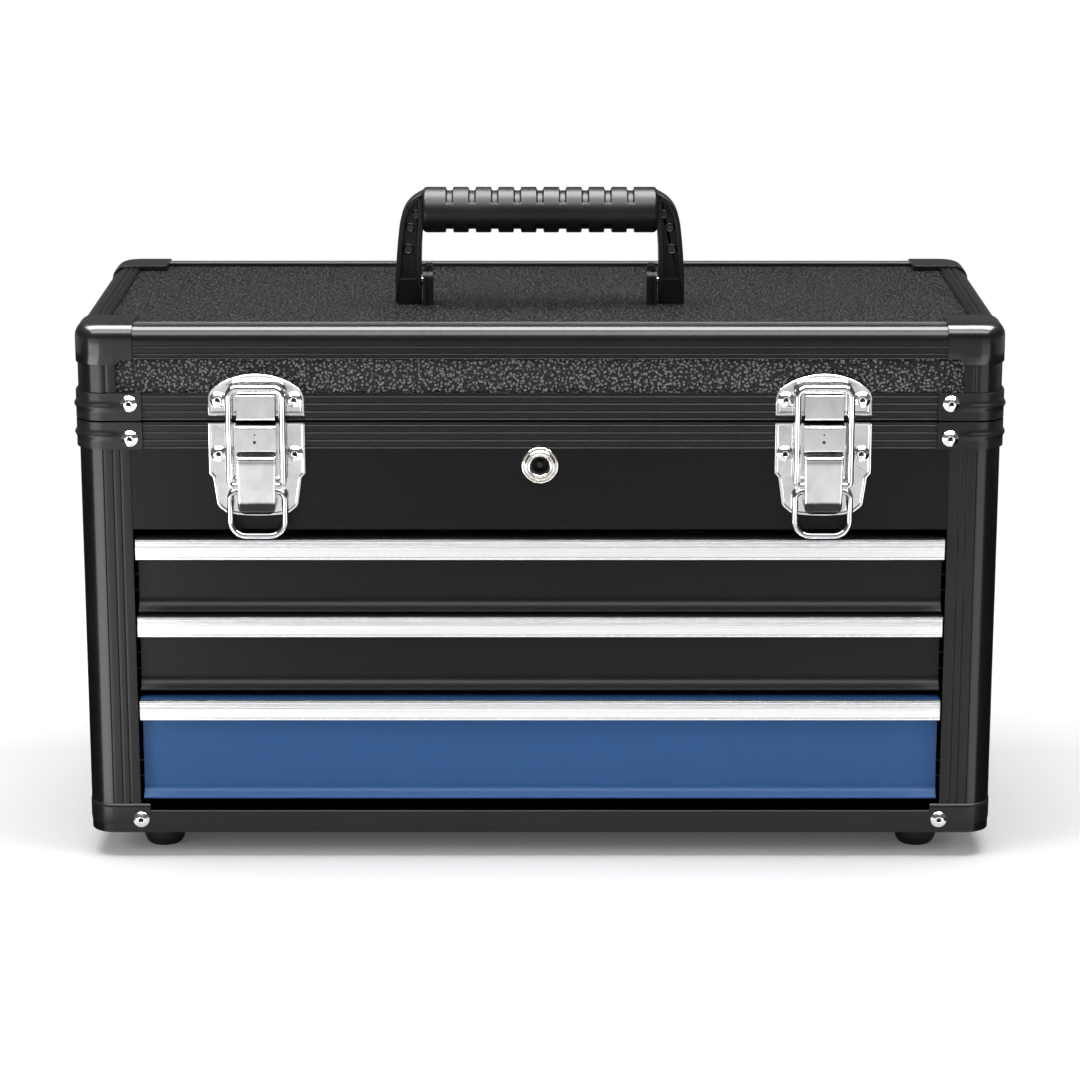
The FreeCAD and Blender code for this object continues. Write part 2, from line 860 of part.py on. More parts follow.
def make_feet():
    bore = size.screw_radius + size.slip_fit
    sink = size.foot_sink_radius
    foot = turned("foot", [
        (bore, size.foot_sink_depth), (sink, size.foot_sink_depth), (sink, 0),
        (size.foot_base_radius, 0), (size.foot_radius, size.foot_edge, size.foot_edge_radius),
        (size.foot_radius, size.foot_height), (size.foot_boss_radius, size.foot_height),
        (size.foot_boss_radius, floor_level), (bore, floor_level),
    ])
    head = size.foot_sink_depth - size.screw_head_height
    tip = board_bottom + size.overrun
    screw = turned("screw", [
        (0, head), (size.screw_head_radius, head), (size.screw_head_radius, size.foot_sink_depth),
        (size.screw_radius, size.foot_sink_depth), (size.screw_radius, tip), (0, tip),
    ])
    node("rubber_feet", group("feet", [copy_of(foot, *spot) for spot in foot_places()]))
    node("foot_screws", group("screws", [copy_of(screw, *spot) for spot in foot_places()]))


def make_edges():
    """Rails, straps, caps and rivets of the case and of the lid."""
    sides = (size.chest_width, size.chest_depth)
    strap = strap_master()
    strap_proud = size.strap_thickness
    grip = strap_proud + size.skin
    case_spots = corner_spots(size.rivet_inset, strap_proud, rim_bottom + size.case_rivet_rise)
    lid_spots = corner_spots(size.rivet_inset, strap_proud, lid_bottom + size.strap_rivet_rise)
    case_rivets, case_drills = set_rivets("case_strap", case_spots, grip)
    lid_rivets, lid_drills = set_rivets("lid_strap", lid_spots, grip)
    cap_proud = size.bottom_cap_proud
    cap_spots = corner_spots(size.rivet_inset, cap_proud, case_bottom + size.cap_rivet_rise)
    cap_rivets, cap_drills = set_rivets("cap", cap_spots, size.skin + cap_proud)
    latch_level = rim_top - size.latch_base_rivet_drop
    panel_grip = size.latch_plate + size.panel_recess + size.sheet_metal
    latch_rivets, latch_drills = set_rivets("latch", latch_spots(latch_level), panel_grip)
    strike_level = lid_bottom + size.strike_rise + size.strike_rivet_rise
    strike_grip = size.latch_plate + size.skin
    strike_rivets, strike_drills = set_rivets("strike", latch_spots(strike_level), strike_grip)

    case_rim = group("case_rim", rim_rails("case", False, rim_bottom, sides))
    flange_seat = place(drill_master("flange_seat", size.lock_flange_radius, 0),
                        0, front + size.panel_recess, lock_level, TO_THE_FRONT)
    node("base_rim_rails", cut("case_rim_drilled", case_rim,
                               [case_drills, latch_drills, flange_seat]))
    lid_rim = group("lid_rim", rim_rails("lid", True, lid_bottom, sides))
    node("lid_rim_rails", cut("lid_rim_drilled", lid_rim, [lid_drills, strike_drills]))
    case_straps = group("case_straps", around([strap], rim_bottom, strap_proud))
    node("base_corner_straps", cut("case_straps_drilled", case_straps, [case_drills]))
    lid_straps = group("lid_straps", around([strap], lid_bottom, strap_proud))
    node("lid_corner_straps", cut("lid_straps_drilled", lid_straps, [lid_drills]))
    bottom_caps = group("bottom_caps", around([bottom_cap_master()], case_bottom, cap_proud))
    node("bottom_corner_caps", cut("bottom_caps_drilled", bottom_caps, [cap_drills]))
    top_caps = around([top_cap_master()], lid_top + size.top_cap_proud, size.top_cap_proud)
    node("lid_corner_caps", group("top_caps", top_caps))
    node("bottom_rails", group("bottom_rail_set", straight_rails(
        "bottom_rail", bottom_rail_profile(), size.bottom_cap_reach, case_bottom)))
    node("lid_top_rails", group("top_rail_set", straight_rails(
        "top_rail", top_rail_profile(), size.top_cap_reach, lid_top)))
    node("base_rivets", group("case_rivet_set", case_rivets + cap_rivets + latch_rivets))
    node("lid_rivets", group("lid_rivet_set", lid_rivets + strike_rivets))
    return latch_drills, strike_drills


# Lid boards

def make_lid():
    low = lid_rim_top - size.rail_slot_depth + size.running_gap
    bend = size.top_rail_rounding
    high = lid_top - bend
    y_span = (front + size.corner_radius, rear - size.corner_radius)
    x_span = (left + size.corner_radius, right - size.corner_radius)
    node("lid_front_panel", block("lid_front", x_span, (front + size.skin, front + inner_face),
                                  (low, high)))
    node("lid_back_panel", block("lid_back", x_span, (rear - inner_face, rear - size.skin),
                                 (low, high)))
    ends = [
        block("lid_left", (left + size.skin, left + inner_face), y_span, (low, high)),
        block("lid_right", (right - inner_face, right - size.skin), y_span, (low, high)),
    ]
    node("lid_end_panels", group("lid_ends", ends))
    outline = rounded_rectangle(left + bend, right - bend, front + bend, rear - bend,
                                size.corner_radius - bend)
    node("lid_top_panel", prism("lid_top_board", "XY_Plane", outline, lid_top - inner_face,
                                size.board))


# Drawers and their slides

slide_start = front + size.drawer_panel_recess + size.sheet_metal + size.overrun
drawer_half = opening_half - size.drawer_side_gap
tray_half = drawer_half - size.tray_side_gap
tray_back = rear - inner_face - size.tray_back_gap
channel_height = size.runner_height + (size.channel_play + size.channel_wall) * 2


def channel_outline(reach, height, wall):
    return [
        (0, 0), (reach, 0), (reach, wall), (wall, wall), (wall, height - wall),
        (reach, height - wall), (reach, height), (0, height),
    ]


def runner_outline(reach, height, wall):
    return [
        (0, 0), (reach, 0), (reach, height), (reach - wall, height), (reach - wall, wall),
        (wall, wall), (wall, height), (0, height),
    ]


def make_channels():
    lip = tray_half + size.channel_wall + size.channel_lip_gap
    reach = size.chest_width / 2 - inner_face - lip
    length = rear - inner_face - slide_start
    outline = channel_outline(reach, channel_height, size.channel_wall)
    master = prism("channel", "XZ_Plane", outline, 0, length)
    copies = []
    for low in (bottom_drawer_low, middle_drawer_low, top_drawer_low):
        level = low + size.runner_rise - size.channel_play - size.channel_wall
        copies.append(copy_of(master, left + inner_face, slide_start, level))
        copies.append(copy_of(master, right - inner_face, rear - inner_face, level,
                              about_z(180)))
    node("slide_channels", group("channels", copies))


def front_outline(low, high):
    """Folded sheet: a top flange, the panel and a kicked-out lower edge with its return."""
    wall = size.sheet_metal
    panel = front + size.drawer_panel_recess
    back = panel + wall
    nose = panel - size.drawer_kick_reach
    step = low + size.drawer_lip_height
    flange = front - size.pull_reach + size.pull_wall
    return [
        (flange, high), (flange, high - wall), (panel, high - wall),
        (panel, step + size.drawer_kick_height), (nose, step), (nose, low), (back, low),
        (back, low + wall), (nose + wall * 2, low + wall),
        (back, step + size.drawer_kick_height), (back, high),
    ]


def pull_outline(high):
    """Extruded pull: a grooved face, a clip under the drawer's flange and a finger lip."""
    wall = size.sheet_metal
    face = front - size.pull_reach
    back = face + size.pull_wall
    foot = high - size.pull_height
    points = [(face, foot)]
    for share in PULL_GROOVE_SHARES:
        middle = foot + size.pull_height * share
        depth = size.pull_groove_depth
        points += [(face, middle - depth), (face + depth, middle), (face, middle + depth)]
    return points + [
        (face, high), (back, high), (back, high - wall), (back + size.pull_clip, high - wall),
        (back + size.pull_clip, high - wall * 2), (back, high - wall * 2), (back, foot + wall),
        (back + size.pull_grip_lip, foot + wall), (back + size.pull_grip_lip, foot),
    ]


def make_drawer(prefix, low, height):
    high = low + height
    start = front + size.drawer_panel_recess + size.sheet_metal
    wall = size.tray_wall
    floor = low + size.tray_floor_rise
    top = high - size.tray_top_drop
    wide = (-tray_half, tray_half)
    between = (start + wall, tray_back - wall)
    upright = (floor + wall, top)
    node(f"{prefix}_drawer_tray", group(f"{prefix}_tray", [
        block(f"{prefix}_tray_floor", wide, (start, tray_back), (floor, floor + wall)),
        block(f"{prefix}_tray_front", wide, (start, start + wall), upright),
        block(f"{prefix}_tray_back", wide, (tray_back - wall, tray_back), upright),
        block(f"{prefix}_tray_left", (-tray_half, wall - tray_half), between, upright),
        block(f"{prefix}_tray_right", (tray_half - wall, tray_half), between, upright),
    ]))
    node(f"{prefix}_drawer_front", prism(f"{prefix}_front", "YZ_Plane",
                                         front_outline(low, high), -drawer_half,
                                         drawer_half * 2))
    node(f"{prefix}_drawer_pull", prism(f"{prefix}_pull", "YZ_Plane", pull_outline(high),
                                        -drawer_half, drawer_half * 2))
    length = tray_back - slide_start - size.runner_end_gap
    outline = runner_outline(size.runner_reach, size.runner_height, size.channel_wall)
    runner = prism(f"{prefix}_runner", "XZ_Plane", outline, 0, length)
    level = low + size.runner_rise
    node(f"{prefix}_drawer_runners", group(f"{prefix}_runners", [
        copy_of(runner, tray_half, slide_start, level),
        copy_of(runner, -tray_half, slide_start + length, level, about_z(180)),
    ]))


# Hinges

hinge_y = rear + size.hinge_barrel_radius + size.running_gap
hinge_level = rim_top + size.parting_gap / 2


def hinge_leaf(name, centre, for_lid):
    third = size.hinge_length / 3
    near = centre - size.hinge_length / 2
    away = size.hinge_barrel_radius + size.running_gap
    y_span = (rear, rear + size.hinge_leaf)
    if for_lid:
        z_span = (hinge_level + away, hinge_level + away + size.hinge_leaf_height)
        web = (hinge_level, hinge_level + away)
        starts = (near + third,)
    else:
        z_span = (hinge_level - away - size.hinge_leaf_height, hinge_level - away)
        web = (hinge_level - away, hinge_level)
        starts = (near, near + third * 2)
    members = [block(f"{name}_plate", (near, near + size.hinge_length), y_span, z_span)]
    for index, start in enumerate(starts):
        inset = size.running_gap / 2
        span = (start + inset, start + third - inset)
        members.append(block(f"{name}_web{index}", span, y_span, web))
        members.append(rod(f"{name}_knuckle{index}", size.hinge_barrel_radius, span[1] - span[0],
                           span[0], hinge_y, hinge_level, TO_THE_RIGHT))
    bore = rod(f"{name}_bore", size.hinge_pin_radius + size.slip_fit,
               size.hinge_length + size.overrun * 2, near - size.overrun, hinge_y, hinge_level,
               TO_THE_RIGHT)
    return cut(f"{name}_leaf", fuse(f"{name}_joined", members), [bore])


def make_hinges():
    case_leaves, lid_leaves, pins = [], [], []
    for name, side in (("left", -1), ("right", 1)):
        centre = hinge_centre * side
        case_leaves.append(hinge_leaf(f"case_{name}", centre, False))
        lid_leaves.append(hinge_leaf(f"lid_{name}", centre, True))
        pins.append(rod(f"{name}_hinge_pin", size.hinge_pin_radius, size.hinge_length,
                        centre - size.hinge_length / 2, hinge_y, hinge_level, TO_THE_RIGHT))
    node("hinge_base_leaves", group("case_leaves", case_leaves))
    node("hinge_lid_leaves", group("lid_leaves", lid_leaves))
    node("hinge_pins", group("pins", pins))


# Lock

lock_level = opening_top + size.lock_rise
lock_face = front + size.panel_recess


def make_lock():
    bore = size.lock_plug_radius + size.slip_fit
    body_radius = size.lock_body_radius
    flange = size.lock_flange_radius
    ring = size.lock_ring_radius
    edge = size.lock_edge
    barrel = turned("barrel", [
        (bore, -size.lock_length), (body_radius, -size.lock_length), (body_radius, 0),
        (flange, 0), (flange, size.lock_flange_height - edge),
        (flange - edge, size.lock_flange_height), (ring, size.lock_flange_height),
        (ring, size.lock_ring_height - edge), (ring - edge, size.lock_ring_height),
        (bore, size.lock_ring_height),
    ])
    node("lock_barrel", place(barrel, 0, lock_face, lock_level, TO_THE_FRONT))

    slot = body_radius + size.slip_fit
    half = size.lock_clip_width / 2
    rise = size.lock_clip_rise
    clip = prism("clip", "XZ_Plane", [
        (-half, -size.lock_clip_drop), (half, -size.lock_clip_drop), (half, rise), (slot, rise),
        (slot, 0), (0, -slot, -slot), (-slot, 0, -slot), (-slot, rise), (-half, rise),
    ], 0, size.sheet_metal)
    node("lock_clip", place(clip, 0, lock_face + size.sheet_metal, lock_level))

    end = -(size.lock_length + size.running_gap)
    tail_end = end - size.cam_thickness - size.running_gap
    face = size.lock_ring_height - size.plug_recess
    groove = face - size.key_ring_depth
    plug = turned("plug", [
        (0, tail_end), (size.plug_tail_radius, tail_end), (size.plug_tail_radius, end),
        (size.lock_plug_radius, end), (size.lock_plug_radius, face),
        (size.key_ring_outer, face), (size.key_ring_outer, groove),
        (size.key_ring_inner, groove), (size.key_ring_inner, face), (0, face),
    ])
    node("lock_plug", place(plug, 0, lock_face, lock_level, TO_THE_FRONT))

    half = size.cam_width / 2
    cam = prism("cam", "XZ_Plane", rounded_rectangle(-half, half, -half, size.cam_length,
                                                     size.cam_width / 4),
                0, size.cam_thickness, [(0, 0, size.plug_tail_radius + size.slip_fit)])
    cam_front = lock_face - end
    node("lock_cam", place(cam, 0, cam_front, lock_level))
    make_catch(cam_front)


def make_catch(cam_front):
    """Bracket on the lid whose tongue the cam turns over."""
    wall = size.sheet_metal
    seat = front + rail_depth
    top = lid_rim_top - size.overrun
    shelf = lid_bottom + size.running_gap
    leg = cam_front - size.catch_gap - wall
    tongue_end = cam_front + size.cam_thickness + size.overrun
    tongue = lock_level - size.cam_width / 2 - size.catch_gap - wall
    outline = [
        (seat, top), (seat, shelf), (leg, shelf), (leg, tongue), (tongue_end, tongue),
        (tongue_end, tongue + wall), (leg + wall, tongue + wall), (leg + wall, shelf + wall),
        (seat + wall, shelf + wall), (seat + wall, top),
    ]
    near = size.cam_length - size.catch_width
    node("lock_catch", prism("catch", "YZ_Plane", outline, near, size.catch_width))


# Draw latches

latch_top = rim_top
plate_face = front - size.latch_plate
latch_face = front - latch_reach
pivot_y = front - size.lever_pivot_reach
pivot_level = rim_top - size.lever_pivot_drop
bail_y = plate_face - size.keeper_reach - size.bail_plane_gap - size.bail_wire_radius
bail_level = pivot_level - size.bail_drop
ring_y = front - size.ring_plane_reach
ring_level = pivot_level - size.ring_drop


def base_plate_outline():
    half = size.latch_width / 2
    waist = size.latch_waist_width / 2
    toe = size.latch_toe_width / 2
    corner = size.latch_corner_radius
    low = latch_top - size.latch_base_height
    shoulder = latch_top - size.latch_shoulder_height
    step = shoulder - half + waist
    rise = low + size.latch_toe_rise
    return [
        (corner - toe, low, corner), (toe - corner, low, size.latch_toe_radius),
        (toe, rise, corner), (waist, step), (half, shoulder), (half, latch_top),
        (-half, latch_top), (-half, shoulder), (-waist, step), (-toe, rise),
    ]


def make_latch_base(label, centre, drills):
    wall = size.latch_plate
    low = latch_top - size.housing_height
    half = size.housing_width / 2
    bend = size.housing_rounding
    body = new_body(f"{label}_plate")
    extrude(body, "XZ_Plane", [base_plate_outline()], plate_face, wall)
    housing = [
        (plate_face, low), (plate_face, latch_top), (latch_face + bend, latch_top),
        (latch_face, latch_top - bend, bend), (latch_face, low + bend),
        (latch_face + bend, low, bend),
    ]
    extrude(body, "YZ_Plane", [housing], -half, half * 2)
    inside = rectangle(latch_face + wall, plate_face, low - size.overrun, latch_top - wall)
    carve(body, "YZ_Plane", [inside], wall - half, (half - wall) * 2)
    ear = size.lever_ear_radius
    ear_outline = [
        (plate_face, pivot_level - ear), (plate_face, pivot_level + ear),
        (pivot_y, pivot_level + ear), (pivot_y - ear, pivot_level, ear),
        (pivot_y, pivot_level - ear, ear),
    ]
    ear_outer = size.lever_width / 2 - wall - size.running_gap
    hole = (pivot_y, pivot_level, size.lever_pin_radius + size.slip_fit)
    for start in (-ear_outer, ear_outer - wall):
        extrude(body, "YZ_Plane", [ear_outline], start, wall, [hole])
    placed = place(body, centre)
    pin = rod(f"{label}_pin", size.lever_pin_radius, size.lever_width,
              centre - size.lever_width / 2, pivot_y, pivot_level, TO_THE_RIGHT)
    drilled = cut(f"{label}_drilled", placed, [drills])
    node(label, group(f"{label}_set", [drilled, pin]))


def make_lever(label, centre):
    """Channel-shaped lever, open to the plate, with a rounded nose."""
    wall = size.latch_plate
    back = plate_face - size.catch_gap
    top = pivot_level + size.lever_top_rise
    low = top - size.lever_length
    bend = size.lever_top_rounding
    nose = size.lever_nose
    half = size.lever_width / 2
    over = size.overrun
    body = new_body(label)
    outer = [
        (back, top - bend), (back - bend, top, bend),
        (latch_face + bend, top), (latch_face, top - bend, bend),
        (latch_face, low + nose), (latch_face + nose, low, nose), (back, low),
    ]
    extrude(body, "YZ_Plane", [outer], -half, size.lever_width)
    inner = [
        (back + over, top + over), (latch_face + wall, top + over),
        (latch_face + wall, low + nose), (latch_face + nose, low + wall, nose - wall),
        (back + over, low + wall),
    ]
    carve(body, "YZ_Plane", [inner], wall - half, (half - wall) * 2)
    holes = [
        (pivot_y, pivot_level, size.lever_pin_radius + size.slip_fit),
        (bail_y, bail_level, size.bail_wire_radius + size.slip_fit),
        (ring_y, ring_level, size.ring_wire_radius + size.slip_fit),
    ]
    carve(body, "YZ_Plane", [], -half - over, size.lever_width + over * 2, holes)
    node(label, place(body, centre))


def bent_wire(name, path_outline, radius, start, level, closed):
    """A wire along a path in the XZ plane that sets out along X at the height level."""
    body = new_body(name)
    path = sketch_on(body, "XZ_Plane")
    if closed:
        draw(path, path_outline)
        count = len(path_outline)
    else:
        count = draw_open(path, path_outline)
    section = sketch_on(body, "YZ_Plane", start)
    draw_circle(section, 0, level, radius)
    pipe = body.newObject("PartDesign::AdditivePipe", f"{name}_pipe")
    pipe.Profile = section
    pipe.Spine = (path, [f"Edge{index}" for index in range(1, count + 1)])
    return body


def draw_open(sketch, path):
    """An open path, from its first point through the others."""
    points = [Vector(number_of(point[0]), number_of(point[1]), 0) for point in path]
    edges = []
    for index in range(1, len(path)):
        first, last, point = points[index - 1], points[index], path[index]
        if len(point) == 2:
            edges.append((sketch.addGeometry(Part.LineSegment(first, last)), 1, 2))
            continue
        radius = number_of(point[2])
        curve = sketch.addGeometry(arc_between(first, last, radius))
        edges.append((curve, 1, 2) if radius > 0 else (curve, 2, 1))
        fix(sketch, "Radius", (curve,), point[2] if radius > 0 else -point[2])
    fix(sketch, "DistanceX", (-1, 1, edges[0][0], edges[0][1]), path[0][0])
    fix(sketch, "DistanceY", (-1, 1, edges[0][0], edges[0][1]), path[0][1])
    for index, (edge, _, end) in enumerate(edges):
        if index + 1 < len(edges):
            following, start, _ = edges[index + 1]
            sketch.addConstraint(Sketcher.Constraint("Coincident", edge, end, following, start))
        fix(sketch, "DistanceX", (-1, 1, edge, end), path[index + 1][0])
        fix(sketch, "DistanceY", (-1, 1, edge, end), path[index + 1][1])
    return len(edges)


def make_bail(label, centre):
    wire = size.bail_wire_radius
    half = size.bail_width / 2 - wire
    bend = size.bail_corner
    tip = size.lever_width / 2 - size.latch_plate - wire / 4
    top = bail_level + size.bail_length
    path = [
        (-tip, bail_level), (bend / 2 - half, bail_level),
        (-half, bail_level + bend / 2, -bend / 2), (-half, top - bend), (bend - half, top, -bend),
        (half - bend, top), (half, top - bend, -bend), (half, bail_level + bend / 2),
        (half - bend / 2, bail_level, -bend / 2), (tip, bail_level),
    ]
    body = bent_wire(f"{label}_wire", path, wire, -tip, bail_level, False)
    node(label, place(body, centre, bail_y))


def make_ring(label, centre):
    wire = size.ring_wire_radius
    half = size.ring_width / 2 - wire
    near = size.ring_top_corner
    far = size.ring_bottom_corner
    high = top_drawer_low + size.top_drawer_height
    low = high + size.ring_floor_gap + wire
    path = [
        (0, ring_level), (near - half, ring_level), (-half, ring_level - near, near),
        (-half, low + far), (far - half, low, far), (half - far, low), (half, low + far, far),
        (half, ring_level - near), (half - near, ring_level, near),
    ]
    body = bent_wire(f"{label}_wire", path, wire, 0, ring_level, True)
    node(label, place(body, centre, ring_y))


def make_strikes(drills):
    """Arched plates on the lid, each with a hooked keeper in front."""
    half = size.latch_width / 2
    low = lid_bottom + size.strike_rise
    side = low + size.strike_side_height
    wall = size.latch_plate
    hook = plate_face - size.keeper_reach
    foot = low - size.keeper_drop
    tip = foot + size.keeper_height
    plates = []
    for name, sign in (("left", -1), ("right", 1)):
        body = new_body(f"{name}_strike")
        outline = [(-half, low), (half, low), (half, side), (-half, side, size.strike_arch_radius)]
        extrude(body, "XZ_Plane", [outline], plate_face, wall)
        keeper = [
            (hook, foot), (front, foot), (front, low + wall), (plate_face, low + wall),
            (plate_face, foot + wall), (hook + wall, foot + wall), (hook + wall, tip),
            (hook, tip),
        ]
        extrude(body, "YZ_Plane", [keeper], -size.keeper_width / 2, size.keeper_width)
        plates.append(place(body, latch_centre * sign))
    strikes = group("strikes", plates)
    node("latch_strikes", cut("strikes_drilled", strikes, [drills]))


def make_latches(base_drills, strike_drills):
    for name, sign in (("left", -1), ("right", 1)):
        centre = latch_centre * sign
        make_latch_base(f"{name}_latch_base", centre, base_drills)
        make_lever(f"{name}_latch_lever", centre)
        make_bail(f"{name}_latch_bail", centre)
        make_ring(f"{name}_latch_ring", centre)
    make_strikes(strike_drills)


# Handle

handle_y = front + size.handle_setback
handle_level = lid_top - size.skin + size.handle_pivot_rise


def make_grip():
    half = size.grip_length / 2
    edge = size.grip_chamfer
    radius = size.grip_radius
    grip = turned("grip", [
        (-half, 0), (half, 0), (half, radius - edge), (half - edge, radius),
        (edge - half, radius), (-half, radius - edge),
    ], "H_Axis")
    floor = radius - size.grip_notch_depth
    for side in (1, -1):
        notches = []
        for index in range(GRIP_NOTCH_COUNT):
            centre = size.grip_notch_pitch * (index - (GRIP_NOTCH_COUNT - 1) / 2)
            near = centre - size.grip_notch_width / 2
            far = centre + size.grip_notch_width / 2
            rim = radius + size.overrun
            notches.append(rectangle(near, far, floor * side, rim * side))
        sketch = sketch_on(grip, "XZ_Plane")
        draw_all(sketch, notches, ())
        groove = grip.newObject("PartDesign::Groove", f"grip_notches_{side + 1}")
        groove.Profile = sketch
        groove.ReferenceAxis = (sketch, ["H_Axis"])
        groove.Angle = GRIP_NOTCH_ANGLE
        groove.Midplane = True
    node("handle_grip", place(grip, 0, handle_y, handle_level + size.grip_rise))


def arm_outline(inset, foot):
    """The arm seen from the front, to the left of the grip; inset draws its recess."""
    outer = inset - size.arm_outer_reach
    inner = -size.arm_inner_reach - inset
    end = -size.grip_length / 2 - inset
    shoulder = size.arm_shoulder_rise
    return [
        (outer, foot), (inner, foot), (inner, shoulder), (end, shoulder + size.arm_lean * 2),
        (end, size.arm_top_rise - inset),
        (outer + size.arm_lean, shoulder, size.arm_shoulder_radius - inset),
    ]


def make_arms():
    depth = size.arm_depth
    foot = -size.arm_foot_drop
    body = new_body("arm")
    pad = extrude(body, "XZ_Plane", [arm_outline(0, foot)], -depth / 2, depth)
    rounding = depth / 2 - size.running_gap
    round_edges(body, pad, lambda p: abs(p.z - foot.number) < 0.01
                and abs(p.y) > rounding.number, rounding)
    recess = arm_outline(size.arm_rim, foot + size.arm_foot_drop + size.arm_rim)
    pocket = size.arm_pocket_depth
    carve(body, "XZ_Plane", [recess], -depth / 2 - size.overrun, pocket + size.overrun)
    carve(body, "XZ_Plane", [recess], depth / 2 - pocket, pocket + size.overrun)
    middle = -(size.arm_outer_reach + size.arm_inner_reach) / 2
    holes = []
    for across, up in ARM_HOLE_SHARES:
        holes.append((middle + size.arm_hole_pitch * across,
                      size.arm_hole_rise + size.arm_hole_pitch * up, size.arm_hole_radius))
    carve(body, "XZ_Plane", [], -depth / 2, depth, holes)
    seat = -size.arm_inner_reach - size.handle_pin_seat
    carve(body, "YZ_Plane", [], seat, size.handle_pin_seat + size.overrun,
          [(0, 0, size.handle_pin_radius)])
    node("handle_arms", group("arms", both_ends(body)))

    pin_length = size.handle_pin_seat + size.lug_gap + size.lug_thickness
    pin = new_body("handle_pin")
    extrude(pin, "YZ_Plane", [], seat, pin_length, [(0, 0, size.handle_pin_radius)])
    node("handle_pivots", group("handle_pins", both_ends(pin)))

    low = -size.handle_pivot_rise
    high = low + size.lug_height
    half = depth / 2
    bend = size.lug_rounding
    outline = [
        (-half, low), (half, low), (half, high - bend), (half - bend, high, bend),
        (bend - half, high), (-half, high - bend, bend),
    ]
    lug = prism("lug", "YZ_Plane", outline, size.lug_gap - size.arm_inner_reach,
                size.lug_thickness, [(0, 0, size.handle_pin_radius + size.slip_fit)])
    node("handle_brackets", group("lugs", both_ends(lug)))


def both_ends(master):
    return [
        copy_of(master, 0, handle_y, handle_level),
        copy_of(master, 0, handle_y, handle_level, about_z(180)),
    ]


def build():
    make_case()
    make_feet()
    make_posts()
    latch_drills, strike_drills = make_edges()
    make_upper_front_panel(latch_drills)
    make_lid()
    make_channels()
    make_drawer("bottom", bottom_drawer_low, size.bottom_drawer_height)
    make_drawer("middle", middle_drawer_low, size.middle_drawer_height)
    make_drawer("top", top_drawer_low, size.top_drawer_height)
    make_hinges()
    make_lock()
    make_latches(latch_drills, strike_drills)
    make_grip()
    make_arms()


def check_and_write():
    document.recompute()
    faults = []
    for thing in document.Objects:
        if "Invalid" in thing.State or "Error" in thing.State:
            faults.append(f"{thing.Name} {thing.State}")
    for thing in nodes:
        if thing.Shape.isNull() or not thing.Shape.isValid() or not thing.Shape.Solids:
            faults.append(f"{thing.Label} has no valid shape")
    if faults:
        raise RuntimeError("; ".join(faults))
    os.makedirs("parts", exist_ok=True)
    for thing in nodes:
        thing.Shape.exportStep(os.path.join("parts", f"{thing.Label}.step"))
    print(len(nodes), "nodes written")


build()
check_and_write()
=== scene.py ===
import math

import bmesh
import bpy
from mathutils import Matrix, Vector


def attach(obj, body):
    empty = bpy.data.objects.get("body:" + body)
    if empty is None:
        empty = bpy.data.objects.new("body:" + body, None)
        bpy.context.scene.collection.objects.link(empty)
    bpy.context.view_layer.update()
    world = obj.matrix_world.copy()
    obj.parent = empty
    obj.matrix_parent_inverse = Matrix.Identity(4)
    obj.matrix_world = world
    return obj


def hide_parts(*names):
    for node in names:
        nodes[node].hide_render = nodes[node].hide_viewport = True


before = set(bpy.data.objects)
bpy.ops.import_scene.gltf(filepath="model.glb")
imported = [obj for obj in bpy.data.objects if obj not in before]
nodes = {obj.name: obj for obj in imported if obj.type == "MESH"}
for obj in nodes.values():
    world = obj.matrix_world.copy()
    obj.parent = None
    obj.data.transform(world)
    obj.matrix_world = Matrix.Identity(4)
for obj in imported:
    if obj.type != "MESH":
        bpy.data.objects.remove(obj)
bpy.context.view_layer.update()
mm = 0.001

# Main planes of the chest in millimetres, the same as in the CAD
chest = {
    "half": 257.5,
    "front": -108.65,
    "rear": 113.35,
    "caseBottom": 15.0,
    "rimBottom": 240.2,
    "lidBottom": 256.5,
    "lidRimTop": 271.8,
    "lidTop": 309.0,
    "cornerRadius": 14.0,
}
corners = ((-1, -1), (1, -1), (1, 1), (-1, 1))


# Mesh tools

def arc(x, y, radius, start, end, steps=8):
    points = []
    for i in range(steps + 1):
        a = math.radians(start + (end - start) * i / steps)
        points.append((x + radius * math.cos(a), y + radius * math.sin(a)))
    return points


# Points along a curve from start to end, drawn towards two handles
def curve(start, one, two, end, steps):
    points = []
    for k in range(steps + 1):
        t = k / steps
        spot = (Vector(start) * (1 - t) ** 3 + Vector(one) * 3 * t * (1 - t) ** 2
                + Vector(two) * 3 * t * t * (1 - t) + Vector(end) * t ** 3)
        points.append((spot.x, spot.y))
    return points


def smoothStep(value):
    value = min(1.0, max(0.0, value))
    return value * value * (3 - 2 * value)


def toSpace(axis, a, b, along):
    if axis == "x":
        return Vector((along, a, b)) * mm
    if axis == "y":
        return Vector((a, along, b)) * mm
    return Vector((a, b, along)) * mm


# A straight bar with the outline's section, from low to high along the axis
def addPrism(bm, outline, axis, low, high):
    first = [bm.verts.new(toSpace(axis, a, b, low)) for a, b in outline]
    last = [bm.verts.new(toSpace(axis, a, b, high)) for a, b in outline]
    bm.faces.new(first)
    bm.faces.new(last[::-1])
    for i in range(len(first)):
        j = (i + 1) % len(first)
        bm.faces.new((first[j], first[i], last[i], last[j]))
    return first + last


